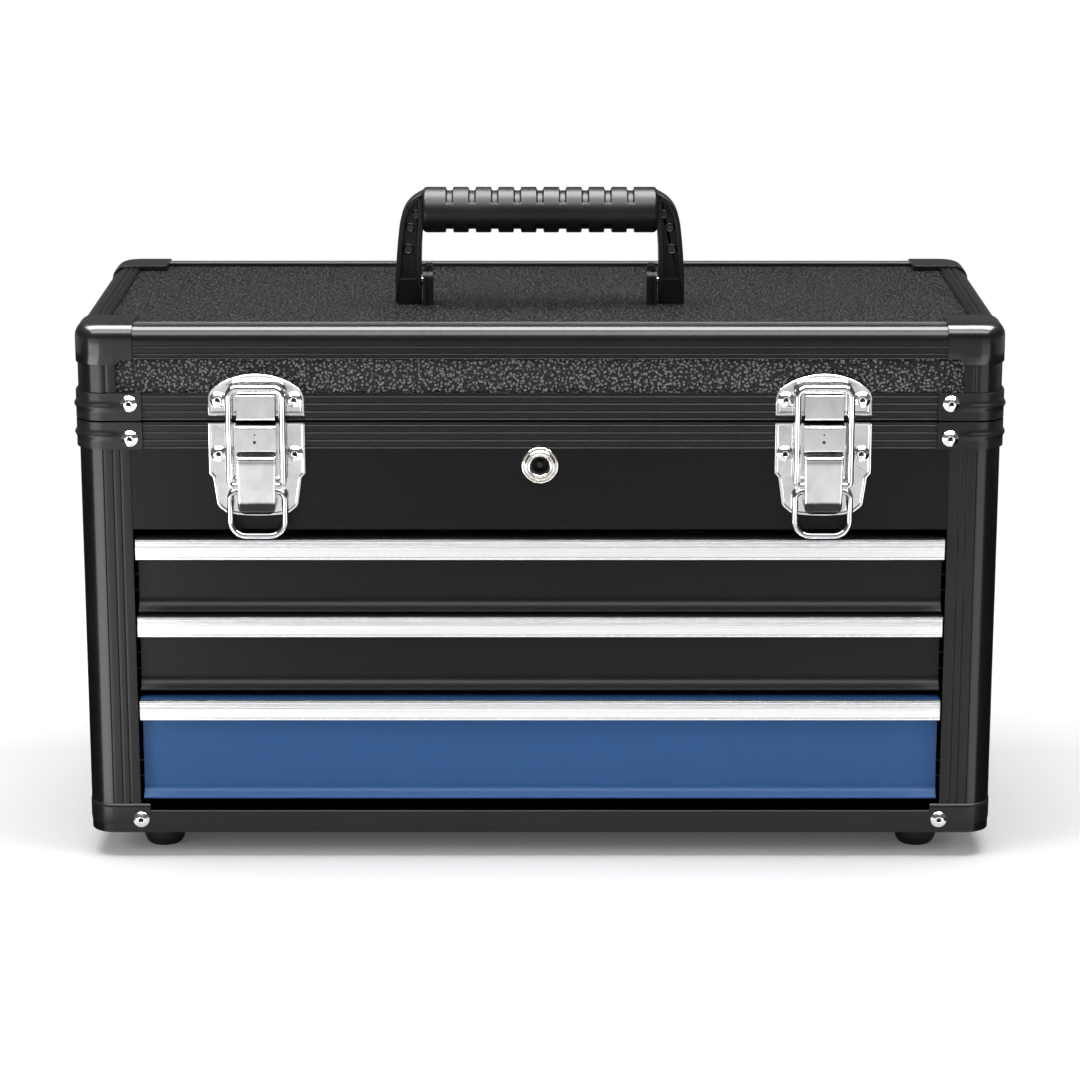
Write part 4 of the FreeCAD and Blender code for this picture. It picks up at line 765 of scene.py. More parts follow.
railLook = {
    "depth": 7.6, "lip": 0.55, "grooveHalf": 0.55, "grooveDepth": 0.75, "rimHeight": 15.3,
    "rimShares": (0.085, 0.35, 0.64, 0.915), "skin": 2.2,
    "topRound": 8.0, "wallDrop": 17.9, "wallLines": (-16.9, -14.6, -10.6),
    "wallGroove": (0.42, 0.6, 0.4), "lidReach": 16.0, "lidLines": (9.5, 12.9, 15.0),
    "lidGroove": (0.42, 0.6, 0.35),
    "bottomHeight": 13.2, "bottomFlange": 14.0, "bottomSkin": 1.6,
}
postLook = {
    "reach": 29.6, "lines": (14.6, 19.9, 24.0), "groove": (0.5, 0.7), "foot": 17.2,
    "lidReach": 22.5, "lidLines": (16.9,), "lidGroove": (1.1, 0.6), "lidDrop": 19.0,
    "overlap": 0.2, "lip": 0.4,
}


# Points of one groove across a face, lips rounded; along grows, depth goes inwards
def groove(middle, half, depth, lip):
    points = []
    for k in range(5):
        a = math.radians(90 * k / 4)
        points.append((middle - half - lip + lip * math.sin(a), lip * (1 - math.cos(a))))
    points += [(middle - half * 0.75, depth * 0.92), (middle, depth),
               (middle + half * 0.75, depth * 0.92)]
    for k in range(5):
        a = math.radians(90 - 90 * k / 4)
        points.append((middle + half + lip - lip * math.sin(a), lip * (1 - math.cos(a))))
    return points


# Sweeps a closed profile of (inwards, z) round the chest's rounded rectangle
def addRing(bm, profile, bend=9):
    rows = []
    for inwards, z in profile:
        row = []
        radius = max(0.4, chest["cornerRadius"] - inwards)
        for (sx, sy), start in zip(((1, -1), (1, 1), (-1, 1), (-1, -1)), (-90, 0, 90, 180)):
            edge = chest["rear"] if sy > 0 else chest["front"]
            x = sx * (chest["half"] - inwards - radius)
            y = edge - sy * (inwards + radius)
            row += [(px, py, z) for px, py in arc(x, y, radius, start, start + 90, bend)]
        rows.append(row)
    return addSkin(bm, rows + [rows[0]], closed=True)


def rimProfile(low, height):
    points = [(0.35, low), (0.1, low + 0.12), (0.0, low + 0.4)]
    for share in railLook["rimShares"]:
        points += [(depth, low + along) for along, depth in
                   groove(height * share, railLook["grooveHalf"], railLook["grooveDepth"],
                          railLook["lip"])]
    points += [(0.0, low + height - 0.4), (0.1, low + height - 0.12), (0.35, low + height)]
    deep = railLook["depth"]
    points += [(deep, low + height), (deep, low)]
    return points


def makeRim(name, body, low, node):
    bm = bmesh.new()
    verts = addRing(bm, rimProfile(low, railLook["rimHeight"]))
    bmesh.ops.remove_doubles(bm, verts=verts, dist=0.000002)
    return finishPiece(name, bm, body, finishes["railAnodised"], (node,),
                       edge=0, angle=38)


# Angle over the lid's top edge: a large rounding between two grooved faces
def makeTopRails():
    look = railLook
    top, bend, skin, reach = chest["lidTop"], look["topRound"], look["skin"], look["lidReach"]
    low = top - look["wallDrop"]
    points = [(skin, low), (0.3, low), (0.0, low + 0.3)]
    for along in look["wallLines"]:
        points += [(depth, top + middle) for middle, depth in groove(along, *look["wallGroove"])]
    points += [(y, z) for y, z in arc(bend, top - bend, bend, 180, 90, 14)]
    for along in look["lidLines"]:
        points += [(middle, top - depth) for middle, depth in groove(along, *look["lidGroove"])
                   if middle < reach - 0.2]
    points += [(reach, top - 0.3), (reach, top - skin), (skin, top - skin)]
    bm = bmesh.new()
    verts = addRing(bm, points)
    bmesh.ops.remove_doubles(bm, verts=verts, dist=0.000002)
    return finishPiece("lidTopRails", bm, "lid", finishes["railAnodised"],
                       ("lid_top_rails",), edge=0, angle=38)


def makeBottomRails():
    look = railLook
    low, skin = chest["caseBottom"], look["skin"]
    top, seat = low + look["bottomHeight"], low + look["bottomSkin"]
    points = [(look["bottomFlange"], low), (0.5, low), (0.12, low + 0.12), (0.0, low + 0.5),
              (0.0, top - 1.0), (0.1, top - 0.5), (0.4, top - 0.15), (0.8, top), (skin, top),
              (skin, seat), (look["bottomFlange"], seat)]
    bm = bmesh.new()
    addRing(bm, points)
    return finishPiece("bottomRails", bm, "case", finishes["railAnodised"],
                       ("bottom_rails",), edge=0, angle=50)


# Outline of a post round a corner, with flutes on either leg
def postOutline(reach, lines, half, depth):
    radius, skin = chest["cornerRadius"], railLook["skin"]
    leg = [(radius, 0.0)]
    for line in lines:
        leg += groove(line, half, depth, postLook["lip"])
    leg += [(reach - 0.4, 0.0), (reach - 0.1, 0.12), (reach, 0.4), (reach, skin)]
    bend = [(radius + radius * math.cos(a), radius + radius * math.sin(a))
            for a in (math.radians(-90 - 90 * k / 16) for k in range(1, 16))]
    back = [(radius + (radius - skin) * math.cos(a), radius + (radius - skin) * math.sin(a))
            for a in (math.radians(-180 + 90 * k / 8) for k in range(9))]
    outline = leg[::-1] + bend + [(y, x) for x, y in leg] + back
    return outline


def makePosts(name, body, outline, low, high, replaced):
    bm = bmesh.new()
    for corner in corners:
        verts = addPrism(bm, outline, "z", low, high)
        bmesh.ops.remove_doubles(bm, verts=verts, dist=0.000002)
        moved(bm, [v for v in verts if v.is_valid], cornerMatrix(corner))
    return finishPiece(name, bm, body, finishes["postAnodised"], replaced,
                       edge=0, angle=38)


makeRim("caseRimRails", "case", chest["rimBottom"], "base_rim_rails")
makeRim("lidRimRails", "lid", chest["lidBottom"], "lid_rim_rails")
makeTopRails()
makeBottomRails()
makePosts("cornerPosts", "case",
          postOutline(postLook["reach"], postLook["lines"], *postLook["groove"]),
          chest["caseBottom"] + postLook["foot"], chest["rimBottom"] + postLook["overlap"],
          ("front_left_post", "front_right_post", "rear_posts"))
makePosts("lidPosts", "lid",
          postOutline(postLook["lidReach"], postLook["lidLines"], *postLook["lidGroove"]),
          chest["lidRimTop"] - postLook["overlap"], chest["lidTop"] - postLook["lidDrop"],
          ("lid_corner_posts",))
print("rails and posts ready")


# Draw latches: pressed plates, hollow housing, rolled lever and two bent wires

latchLook = {
    "width": 53.4, "plateThickness": 1.2, "baseRim": 1.5, "strikeRim": 2.0, "rimHeight": 0.32,
    "plateTop": 255.5, "shoulder": 226.5, "waist": 49.2, "toe": 44.8, "toeRise": 209.1,
    "plateLow": 203.5, "toeSag": 1.2, "face": 11.4, "pivotLevel": 234.9, "pivotReach": 6.0,
    "housingWidth": 22.6, "cheek": 1.25, "housingLow": 240.7, "leverWidth": 22.0,
    "marks": ((246.4, 0.95), (250.6, 0.5)), "marksAside": 0.4, "ear": (8.3, 9.5),
    "earRadius": 2.6, "pin": [(0, -11.0), (1.2, -11.0), (1.5, -10.7), (1.5, 10.7),
                              (1.2, 11.0), (0, 11.0)],
    "leverTop": 238.3, "leverLow": 203.7, "leverNose": 8.0, "leverBack": 2.0, "leverRound": 2.4,
    "leverLevels": [230.0, 224.0, 218.0], "leverTaper": 0.7, "leverCorner": 5.0,
    "leverBend": 1.3, "leverSheet": 1.1, "leverSoftEdge": 0.25,
}
strikeLook = {
    "low": 259.5, "crownRadius": 39.6, "crownTop": 282.86, "crownReach": 23.4,
    "shoulder": 268.0, "shoulderTop": 273.2, "keeperWidth": 21.6, "keeperReach": 5.0,
}
wireLook = {
    "bailLevel": 221.1, "bailTop": 276.4, "bailHalf": 14.9, "bailReach": 8.5, "bailWire": 1.98,
    "bailFoot": 9.3, "bailLowBend": 2.5, "bailTopBend": 5.0,
    "ringLevel": 217.0, "ringLow": 191.7, "ringHalf": 15.3, "ringReach": 5.0, "ringWire": 1.78,
    "ringTopBend": 4.0, "ringLowBend": 9.0,
}


# The outline moved inwards by a distance
def insetOutline(outline, distance):
    area = sum(a[0] * b[1] - b[0] * a[1] for a, b in zip(outline, outline[1:] + outline[:1]))
    turn = 1 if area > 0 else -1
    points = []
    for i, here in enumerate(outline):
        before, after = Vector(outline[i - 1]), Vector(outline[(i + 1) % len(outline)])
        spot = Vector(here)
        a = (spot - before).normalized()
        b = (after - spot).normalized()
        na = Vector((-a.y, a.x)) * turn
        nb = Vector((-b.y, b.x)) * turn
        spot = spot + (na + nb) * distance / max(0.35, 1 + na.dot(nb))
        points.append((spot.x, spot.y))
    return points


# Replaces corners given as (x, y, radius) with arcs
def roundedOutline(points, steps=6):
    outline = []
    for i, (x, y, radius) in enumerate(points):
        if radius <= 0:
            outline.append((x, y))
            continue
        spot = Vector((x, y))
        a = (Vector(points[i - 1][:2]) - spot).normalized()
        b = (Vector(points[(i + 1) % len(points)][:2]) - spot).normalized()
        half = a.angle(b) / 2
        start = spot + a * radius / math.tan(half)
        end = spot + b * radius / math.tan(half)
        centre = spot + (a + b).normalized() * radius / math.sin(half)
        for k in range(steps + 1):
            way = (start - centre).slerp(end - centre, k / steps)
            outline.append(tuple(centre + way.normalized() * radius))
    return outline


# A pressed plate lying against the front wall, with a raised rim round its face
def addPressedPlate(bm, outline, back, thickness, rim, rimHeight):
    steps = ((0.0, back), (0.0, back - thickness - rimHeight + 0.35),
             (0.1, back - thickness - rimHeight + 0.1), (0.35, back - thickness - rimHeight),
             (rim - 0.3, back - thickness - rimHeight), (rim, back - thickness - rimHeight + 0.1),
             (rim + 0.35, back - thickness))
    rows = [[(x, y, z) for x, z in insetOutline(outline, inset)] for inset, y in steps]
    return addSkin(bm, rows, closed=True, capped=True)


def basePlateOutline():
    look = latchLook
    half, waist, toe = look["width"] / 2, look["waist"] / 2, look["toe"] / 2
    low = look["plateLow"]
    right = [(half, look["plateTop"], 0.8), (half, look["shoulder"], 1.6),
             (waist, look["shoulder"] - 2.4, 2.5), (toe, look["toeRise"] - 1.0, 5.0),
             (toe - 5.0, low + 0.4, 5.0)]
    bottom = [(x, low - look["toeSag"] * (1 - (x / 17.0) ** 2), 0)
              for x in (12, 8, 4, 0, -4, -8, -12)]
    left = [(-x, z, r) for x, z, r in right[::-1]]
    return roundedOutline(right + bottom + left)


def strikeOutline():
    look = strikeLook
    half = latchLook["width"] / 2
    low = look["low"]
    radius = look["crownRadius"]
    middle = look["crownTop"] - radius
    reach = math.asin(look["crownReach"] / radius)
    crown = [(radius * math.sin(reach * k / 10), middle + radius * math.cos(reach * k / 10))
             for k in range(10, -11, -1)]
    start, control = Vector((half, look["shoulder"])), Vector((half, look["shoulderTop"]))
    end = Vector(crown[0])
    shoulder = []
    for k in range(8):
        t = k / 8
        spot = start * (1 - t) ** 2 + control * 2 * t * (1 - t) + end * t * t
        shoulder.append((spot.x, spot.y))
    return [(half, low)] + shoulder + crown + [(-x, z) for x, z in shoulder[::-1]] + [(-half, low)]


def makeStrikes():
    look = latchLook
    front = chest["front"]
    bm = bmesh.new()
    hook = front - look["plateThickness"] - strikeLook["keeperReach"]
    for side in (-1, 1):
        verts = addPressedPlate(bm, strikeOutline(), front, look["plateThickness"],
                                look["strikeRim"], look["rimHeight"])
        half = strikeLook["keeperWidth"] / 2
        keeper = [(hook, 258.9)] + arc(hook + 1.6, 258.9, 1.6, 180, 270, 6)[1:] + [
            (front - 1.2, 257.3), (front - 1.2, 258.5)] + arc(
            hook + 1.8, 259.1, 0.6, 270, 180, 4) + [(hook + 1.2, 270.6)] + arc(
            hook + 0.6, 271.0, 0.6, 0, 180, 6)
        verts += addPrism(bm, keeper, "x", -half, half)
        moved(bm, verts, shiftBy(side * latch["centre"], 0, 0))
    return finishPiece("latchStrikes", bm, "lid", finishes["latchChrome"],
                       ("latch_strikes",), edge=0.3, angle=40)


def makeLatchBase(label, side):
    look = latchLook
    front = chest["front"]
    plate = front - look["plateThickness"]
    face = front - look["face"]
    bm = bmesh.new()
    verts = addPressedPlate(bm, basePlateOutline(), front, look["plateThickness"],
                            look["baseRim"], look["rimHeight"])
    # housing: rounded shell with a framed face
    half = look["housingWidth"] / 2
    low, top = look["housingLow"], look["plateTop"]
    shell = [(plate, low), (face + 1.6, low)] + arc(face + 1.6, low + 1.6, 1.6, 270, 180, 5)[1:] \
        + arc(face + 1.6, top - 1.6, 1.6, 180, 90, 5) + [(plate, top)]
    verts += addPrism(bm, shell, "x", look["cheek"] - half, half - look["cheek"])
    for end in (-1, 1):
        cheek = [(plate, low - 0.25), (face - 0.02 + 1.4, low - 0.25)] + arc(
            face + 1.38, low + 1.15, 1.4, 270, 180, 5)[1:] + arc(
            face + 1.38, top - 1.4, 1.4, 180, 90, 5) + [(plate, top)]
        near, far = sorted((end * half, end * (half - look["cheek"])))
        verts += addPrism(bm, cheek, "x", near, far)
    # ears and pin of the lever
    pivot, reach, bend = look["pivotLevel"], front - look["pivotReach"], look["earRadius"]
    for end in (-1, 1):
        ear = [(plate, pivot - bend), (plate, pivot + bend), (reach, pivot + bend)] + arc(
            reach, pivot, bend, 90, 270, 10)[1:]
        near, far = sorted(end * edge for edge in look["ear"])
        verts += addPrism(bm, ear, "x", near, far)
    pin = addTurned(bm, look["pin"], 24, False)
    moved(bm, pin, shiftBy(0, reach, pivot) @ Matrix.Rotation(math.radians(90), 4, "Y"))
    verts += pin
    moved(bm, verts, shiftBy(side * latch["centre"], 0, 0))
    piece = finishPiece(label + "LatchBase", bm, "case", finishes["latchChrome"],
                        (label + "_latch_base",), edge=0.3, angle=40)
    # drilled sight hole below the middle of the housing and a punched mark above it, drawn as
    # black discs of painted shade
    dark = bmesh.new()
    for z, radius in look["marks"]:
        dot = addTurned(dark, [(0, 0.25), (radius, 0.25), (radius + 0.1, 0.0)], 20, False)
        moved(dark, dot, facing(side * latch["centre"] - look["marksAside"], face + 0.24, z,
                                "front"))
    finishPiece(label + "LatchMarks", dark, "case", finishes["holeShadeBlack"], (),
                edge=0, angle=60)
    return piece


def makeLever(label, side):
    look = latchLook
    front = chest["front"]
    back = front - look["leverBack"]
    face = front - look["face"]
    top, low, nose = look["leverTop"], look["leverLow"], look["leverNose"]
    half = look["leverWidth"] / 2
    crown, corner = look["leverRound"], look["leverCorner"]
    levels = [top - crown + crown * math.sin(math.radians(90 - 90 * k / 6)) for k in range(7)]
    levels += look["leverLevels"] + [low + nose]
    levels += [low + nose - nose * math.sin(math.radians(90 * k / 10)) for k in range(1, 11)]
    rows = []
    for z in levels:
        depth = face
        if z > top - crown:
            depth = face + crown - math.sqrt(max(0.0, crown ** 2 - (z - top + crown) ** 2))
        if z < low + nose:
            depth = face + nose - math.sqrt(max(0.0, nose ** 2 - (low + nose - z) ** 2))
        wide = half - look["leverTaper"] * (top - z) / (top - low)
        below = low + corner - z
        if below > 0:
            wide -= corner - math.sqrt(max(0.0, corner ** 2 - below * below))
        depth = min(depth, back - 0.6)
        bend = min(look["leverBend"], (back - depth) * 0.5)
        section = [(-wide, back), (-wide, depth + bend)]
        section += arc(bend - wide, depth + bend, bend, 180, 270, 5)[1:] + [(0, depth)]
        section += arc(wide - bend, depth + bend, bend, 270, 360, 5) + [(wide, back)]
        rows.append([(x + side * latch["centre"], y, z) for x, y in section])
    bm = bmesh.new()
    addSkin(bm, rows)
    piece = finishPiece(label + "Lever", bm, label + "_lever", finishes["leverChrome"],
                        (label + "_latch_lever",), edge=0, angle=75)
    addWall(piece, look["leverSheet"])
    addBevel(piece, look["leverSoftEdge"], 2, 60, harden=False)


def makeWires(label, side):
    look = wireLook
    half, low, top = look["bailHalf"], look["bailLevel"], look["bailTop"]
    foot, lowBend, topBend = look["bailFoot"], look["bailLowBend"], look["bailTopBend"]
    path = [(-foot, low)] + arc(lowBend - half, low + lowBend, lowBend, 270, 180, 8)
    path += arc(topBend - half, top - topBend, topBend, 180, 90, 12)
    path += arc(half - topBend, top - topBend, topBend, 90, 0, 12)
    path += arc(half - lowBend, low + lowBend, lowBend, 360, 270, 8) + [(foot, low)]
    bm = bmesh.new()
    centre = side * latch["centre"]
    y = chest["front"] - look["bailReach"]
    addWire(bm, [(x + centre, y, z) for x, z in path], look["bailWire"], steps=20)
    finishPiece(label + "Bail", bm, label + "_bail", finishes["wireChrome"],
                (label + "_latch_bail",), edge=0, angle=60)
    half, low, top = look["ringHalf"], look["ringLow"], look["ringLevel"]
    lowBend, topBend = look["ringLowBend"], look["ringTopBend"]
    path = arc(half - topBend, top - topBend, topBend, 90, 0, 9)
    path += arc(half - lowBend, low + lowBend, lowBend, 360, 270, 14)
    path += arc(lowBend - half, low + lowBend, lowBend, 270, 180, 14)
    path += arc(topBend - half, top - topBend, topBend, 180, 90, 9)
    bm = bmesh.new()
    y = chest["front"] - look["ringReach"]
    addWire(bm, [(x + centre, y, z) for x, z in path], look["ringWire"], closed=True, steps=20)
    finishPiece(label + "Ring", bm, label + "_ring", finishes["wireChrome"],
                (label + "_latch_ring",), edge=0, angle=60)


makeStrikes()
for latchLabel, latchSide in (("left", -1), ("right", 1)):
    makeLatchBase(latchLabel, latchSide)
    makeLever(latchLabel, latchSide)
    makeWires(latchLabel, latchSide)
print("latches ready")


# Drawer fronts with a kicked-out lower edge, and extruded pulls with lines along the face

drawers = (("bottom", 35.1, 95.4), ("middle", 99.4, 144.4), ("top", 145.2, 189.3))
drawerLook = {"half": 226.2, "recess": 6.0, "kick": 5.0, "sheet": 1.2}
pullLook = {"height": 11.8, "reach": 5.5, "wall": 2.2, "grooveDepth": 0.32,
            "grooves": (0.9, 2.1, 2.9, 3.7, 4.5), "lip": 1.6}


# Outer line of a drawer front from its top flange down to the rolled lower edge
def frontPath(low, high):
    look = drawerLook
    panel = chest["front"] + look["recess"]
    nose = panel - look["kick"]
    path = [(panel, high - 0.6)]
    return path + curve((panel, low + 8.6), (panel, low + 4.2), (nose + 2.2, low + 3.0),
                        (nose, low + 1.15), 10)


def makeFront(label, low, high, finish):
    look = drawerLook
    panel = chest["front"] + look["recess"]
    wall = look["sheet"]
    outer = frontPath(low, high)
    nose = outer[-1]
    outline = [(chest["front"] - 3.25, high), (chest["front"] - 3.25, high - wall),
               (panel - 0.5, high - wall), (panel, high - wall - 0.5)] + outer[1:]
    outline += [(nose[0] + 0.05, low + 0.4), (nose[0] + 0.5, low), (panel + wall, low),
                (panel + wall, low + wall), (nose[0] + 2.4, low + wall)]
    outline += [(y + wall, z + 0.25) for y, z in outer[:3:-1]]
    outline += [(panel + wall, low + 10.0), (panel + wall, high)]
    bm = bmesh.new()
    addPrism(bm, outline, "x", -look["half"], look["half"])
    return finishPiece(label + "DrawerFront", bm, label + "_drawer", finishes[finish],
                       (label + "_drawer_front",), edge=0.22, angle=35)


def makePull(label, high):
    look = pullLook
    face = chest["front"] - look["reach"]
    back = face + look["wall"]
    foot = high - look["height"]
    points = [(back, high), (face + 0.5, high), (face + 0.1, high - 0.15), (face, high - 0.5)]
    for index, drop in enumerate(look["grooves"]):
        depth = look["grooveDepth"] * (3.0 if index == 0 else 1.6)
        wide = 0.46 if index == 0 else 0.29
        points += [(face, high - drop + wide), (face + depth, high - drop + 0.08),
                   (face + depth, high - drop - 0.08), (face, high - drop - wide)]
    points += [(face, foot + 2.2), (face + 0.9, foot + 2.0), (face + 0.9, foot + 1.5),
               (face, foot + 1.3)]
    points += arc(face + 0.8, foot + 0.8, 0.8, 180, 270, 5)
    points += [(back + look["lip"], foot), (back + look["lip"], foot + 1.2), (back, foot + 1.2)]
    bm = bmesh.new()
    addPrism(bm, points, "x", -drawerLook["half"], drawerLook["half"])
    return finishPiece(label + "DrawerPull", bm, label + "_drawer", finishes["pullAluminium"],
                       (label + "_drawer_pull",), edge=0.08, angle=40)


for drawerLabel, drawerLow, drawerHigh in drawers:
    makeFront(drawerLabel, drawerLow, drawerHigh,
              "blueSheet" if drawerLabel == "bottom" else "drawerSheet")
    makePull(drawerLabel, drawerHigh)
print("drawers ready")


# Folding handle: notched grip, two recessed arms with three bosses each, and their lugs

handleLook = {
    "y": -22.65, "pivot": 320.1, "gripLevel": 360.8, "gripRadius": 13.0, "gripHalf": 66.9,
    "endRounding": 2.4, "stations": 290, "around": 128,
    "notchPitch": 12.9, "notchHalf": 1.95, "notchDepth": 2.0, "upperReach": 13.2,
    "upperSoftness": 0.55, "lowerReach": 13.6, "lowerTrim": 0.7, "lowerHalf": 0.9,
    "lowerSoftness": 0.5, "partingDrop": 5.2, "partingDepth": 0.14, "armDepth": 16.0,
    "rim": 2.7, "pocket": 3.4, "lip": 0.4,
    "bosses": ((-75.3, 18.8, 2.1), (-74.1, 31.2, 1.8), (-70.6, 38.9, 1.8)),
}


# Depth of the grip's surface at a place along it and at an angle from the top
def gripDepth(x, angle):
    look = handleLook
    pitch = look["notchPitch"]
    index = max(-4, min(4, round(x / pitch)))
    across = abs(x - index * pitch)
    fromTop = abs(angle) * look["gripRadius"]
    fromBottom = (math.pi - abs(angle)) * look["gripRadius"]
    upper = math.hypot(across, max(0.0, fromTop - look["upperReach"])) - look["notchHalf"]
    trim = look["lowerTrim"]
    lower = math.hypot(max(0.0, across - look["notchHalf"] + trim),
                       max(0.0, fromBottom - look["lowerReach"] + trim)) - look["lowerHalf"]
    depth = look["notchDepth"] * max(smoothStep(0.3 - upper / look["upperSoftness"]),
                                     smoothStep(0.3 - lower / look["lowerSoftness"]))
    seam = abs(look["gripRadius"] * math.cos(angle) + look["partingDrop"])
    return depth + look["partingDepth"] * smoothStep(1 - seam / 0.3)


def makeGrip():
    look = handleLook
    half, radius, bend = look["gripHalf"], look["gripRadius"], look["endRounding"]
    stations = []
    for k in range(9):
        a = math.radians(90 * k / 8)
        stations.append((-half + bend * (1 - math.cos(a)), radius - bend * (1 - math.sin(a))))
    count = look["stations"]
    stations += [(-half + bend + (2 * half - 2 * bend) * k / count, radius)
                 for k in range(1, count)]
    stations += [(-x, r) for x, r in stations[8::-1]]
    bm = bmesh.new()
    rows = []
    around = look["around"]
    for x, r in stations:
        row = []
        for k in range(around):
            angle = 2 * math.pi * k / around - math.pi
            size = r - gripDepth(x, angle) if r == radius else r
            row.append((x, look["y"] - size * math.sin(angle),
                        look["gripLevel"] + size * math.cos(angle)))
        rows.append(row)
    addSkin(bm, rows, closed=True, capped=True)
    return finishPiece("handleGrip", bm, "carry_handle", finishes["handlePlastic"],
                       ("handle_grip",), edge=0, angle=60)


def armOutline():
    outer = [(-82.6, -12.3 + k * 2.2) for k in range(8)] + [(-82.3, 8.0), (-81.8, 16.0),
                                                            (-81.1, 24.0)]
    outer += curve((-80.6, 28.5), (-79.4, 42.0), (-76.0, 47.0), (-66.6, 51.4), 14)
    inner = [(-66.6, 40.0), (-66.6, 34.0), (-66.9, 30.0), (-67.3, 26.0), (-67.7, 20.0),
             (-67.9, 12.0)]
    inner += [(-68.0, 7.5 - k * 2.2) for k in range(9)] + [(-68.0, -12.3)]
    return outer + inner


def makeArms():
    look = handleLook
    half = look["armDepth"] / 2
    bm, dark = bmesh.new(), bmesh.new()
    outline = armOutline()

    def loop(inset, y, clamped):
        points = insetOutline(outline, inset) if inset else outline
        row = []
        for x, z in points:
            if clamped:
                bow = (x + 75.3) / 5.0
                z = max(z, look["lip"] + clamped + 1.3 * bow * bow)
            # the foot is rounded under the pivot
            if not clamped and z < -5.0:
                drop = min(1.0, (-5.0 - z) / 7.3)
                y2 = math.copysign(min(abs(y), half * math.sqrt(max(0.0, 1 - 0.55 * drop ** 2))),
                                   y)
            else:
                y2 = y
            row.append((x, look["y"] + y2, look["pivot"] + z))
        return row

    for side in (1, -1):
        rim, pocket = look["rim"], look["pocket"]
        steps = [(rim + 0.5, pocket - half, 0.9), (rim + 0.3, 0.5 - half, 0.6),
                 (rim, 0.12 - half, 0.25), (rim - 0.4, 0.0 - half, 0.001), (0.55, 0.0 - half, 0),
                 (0.16, 0.16 - half, 0), (0.0, 0.55 - half, 0)]
        rows = [loop(inset, y, clamp) for inset, y, clamp in steps]
        rows += [loop(inset, -y, clamp) for inset, y, clamp in steps[::-1]]
        verts = addSkin(bm, rows, closed=True, capped=True)
        holeShadeDiscs = []
        for x, rise, radius in look["bosses"]:
            for face, wall in (("front", -1), ("back", 1)):
                spot = facing(x, look["y"] + wall * (half - pocket), look["pivot"] + rise, face)
                ring = [(radius, -0.2), (radius, 0.6), (radius + 0.35, 0.85),
                        (radius + 0.9, 0.6), (radius + 1.1, -0.2)]
                verts += moved(bm, addTurned(bm, ring, 28), spot)
                # a black disc in each boss paints the shade in its hole
                holeShadeDiscs += moved(dark, addTurned(dark, [(0, 0.12), (radius + 0.1, 0.12)], 24,
                                                False), spot)
        if side < 0:
            turn = Matrix.Diagonal((-1, 1, 1, 1))
            moved(bm, verts, turn)
            moved(dark, holeShadeDiscs, turn)
    finishPiece("handleArms", bm, "carry_handle", finishes["handlePlastic"],
                ("handle_arms",), edge=0, angle=48)
    finishPiece("handleArmHoleShade", dark, "carry_handle", finishes["holeShadeBlack"],
                (), edge=0, angle=60)


# Lugs the arms turn on: two plates with a slimmer one between them, and a stop on top

lugLook = {
    "low": 306.8, "high": 327.0, "half": 8.0, "bend": 5.0, "slimmer": 0.8,
    "outer": (64.9, 67.0), "slim": (64.0, 65.0), "inner": (61.2, 64.1), "stop": (61.8, 65.4),
    "stopHalf": 3.4, "stopRise": 2.6, "stopBevel": 0.6, "stopSunk": 0.4,
}


def makeLugs():
    look = lugLook
    bm = bmesh.new()
    low, high, half, bend = look["low"], look["high"], look["half"], look["bend"]
    outline = [(half, low), (half, high - bend)]
    outline += arc(half - bend, high - bend, bend, 0, 90, 8)
    outline += arc(bend - half, high - bend, bend, 90, 180, 8) + [(-half, low)]
    slim = insetOutline(outline, look["slimmer"])
    slim[0], slim[-1] = (half - look["slimmer"], low), (look["slimmer"] - half, low)
    wide, bevel, crest = look["stopHalf"], look["stopBevel"], high + look["stopRise"]
    sunk = high - look["stopSunk"]
    block = [(-wide, sunk), (wide, sunk), (wide, crest - bevel), (wide - bevel, crest),
             (bevel - wide, crest), (-wide, crest - bevel)]
    for side in (-1, 1):
        for shape, (near, far) in ((outline, look["outer"]), (slim, look["slim"]),
                                   (outline, look["inner"]), (block, look["stop"])):
            shape = [(y + handleLook["y"], z) for y, z in shape]
            first, last = sorted((side * near, side * far))
            addPrism(bm, shape, "x", first, last)
    return finishPiece("handleLugs", bm, "lid", finishes["handlePlastic"],
                       ("handle_brackets",), edge=0.45, angle=40, segments=3)


# Cam lock: stepped bright flange round a deep key hole; the plug is painted black for the shade in
# the key hole

lockLook = {
    "z": 230.9, "seat": 0.4,
    "flange": [(5.25, -22.0), (8.0, -22.0), (8.0, 0.0), (10.4, 0.0), (10.4, 0.75), (10.15, 1.15),
               (9.7, 1.4), (9.25, 1.35), (9.1, 1.0), (8.85, 0.98), (8.7, 1.3), (8.6, 2.05),
               (8.25, 2.55), (7.7, 2.8), (7.25, 2.72), (7.1, 2.4), (6.85, 2.36), (6.7, 2.6),
               (6.3, 2.74), (5.75, 2.66), (5.4, 2.35), (5.25, 1.9)],
    "plug": [(0, -27.5), (3.0, -27.5), (3.0, -22.4), (5.15, -22.4), (5.15, 1.7), (4.7, 1.7),
             (4.6, -4.5), (1.9, -4.5), (1.9, -1.2), (1.5, -0.9), (0, -0.9)],
}


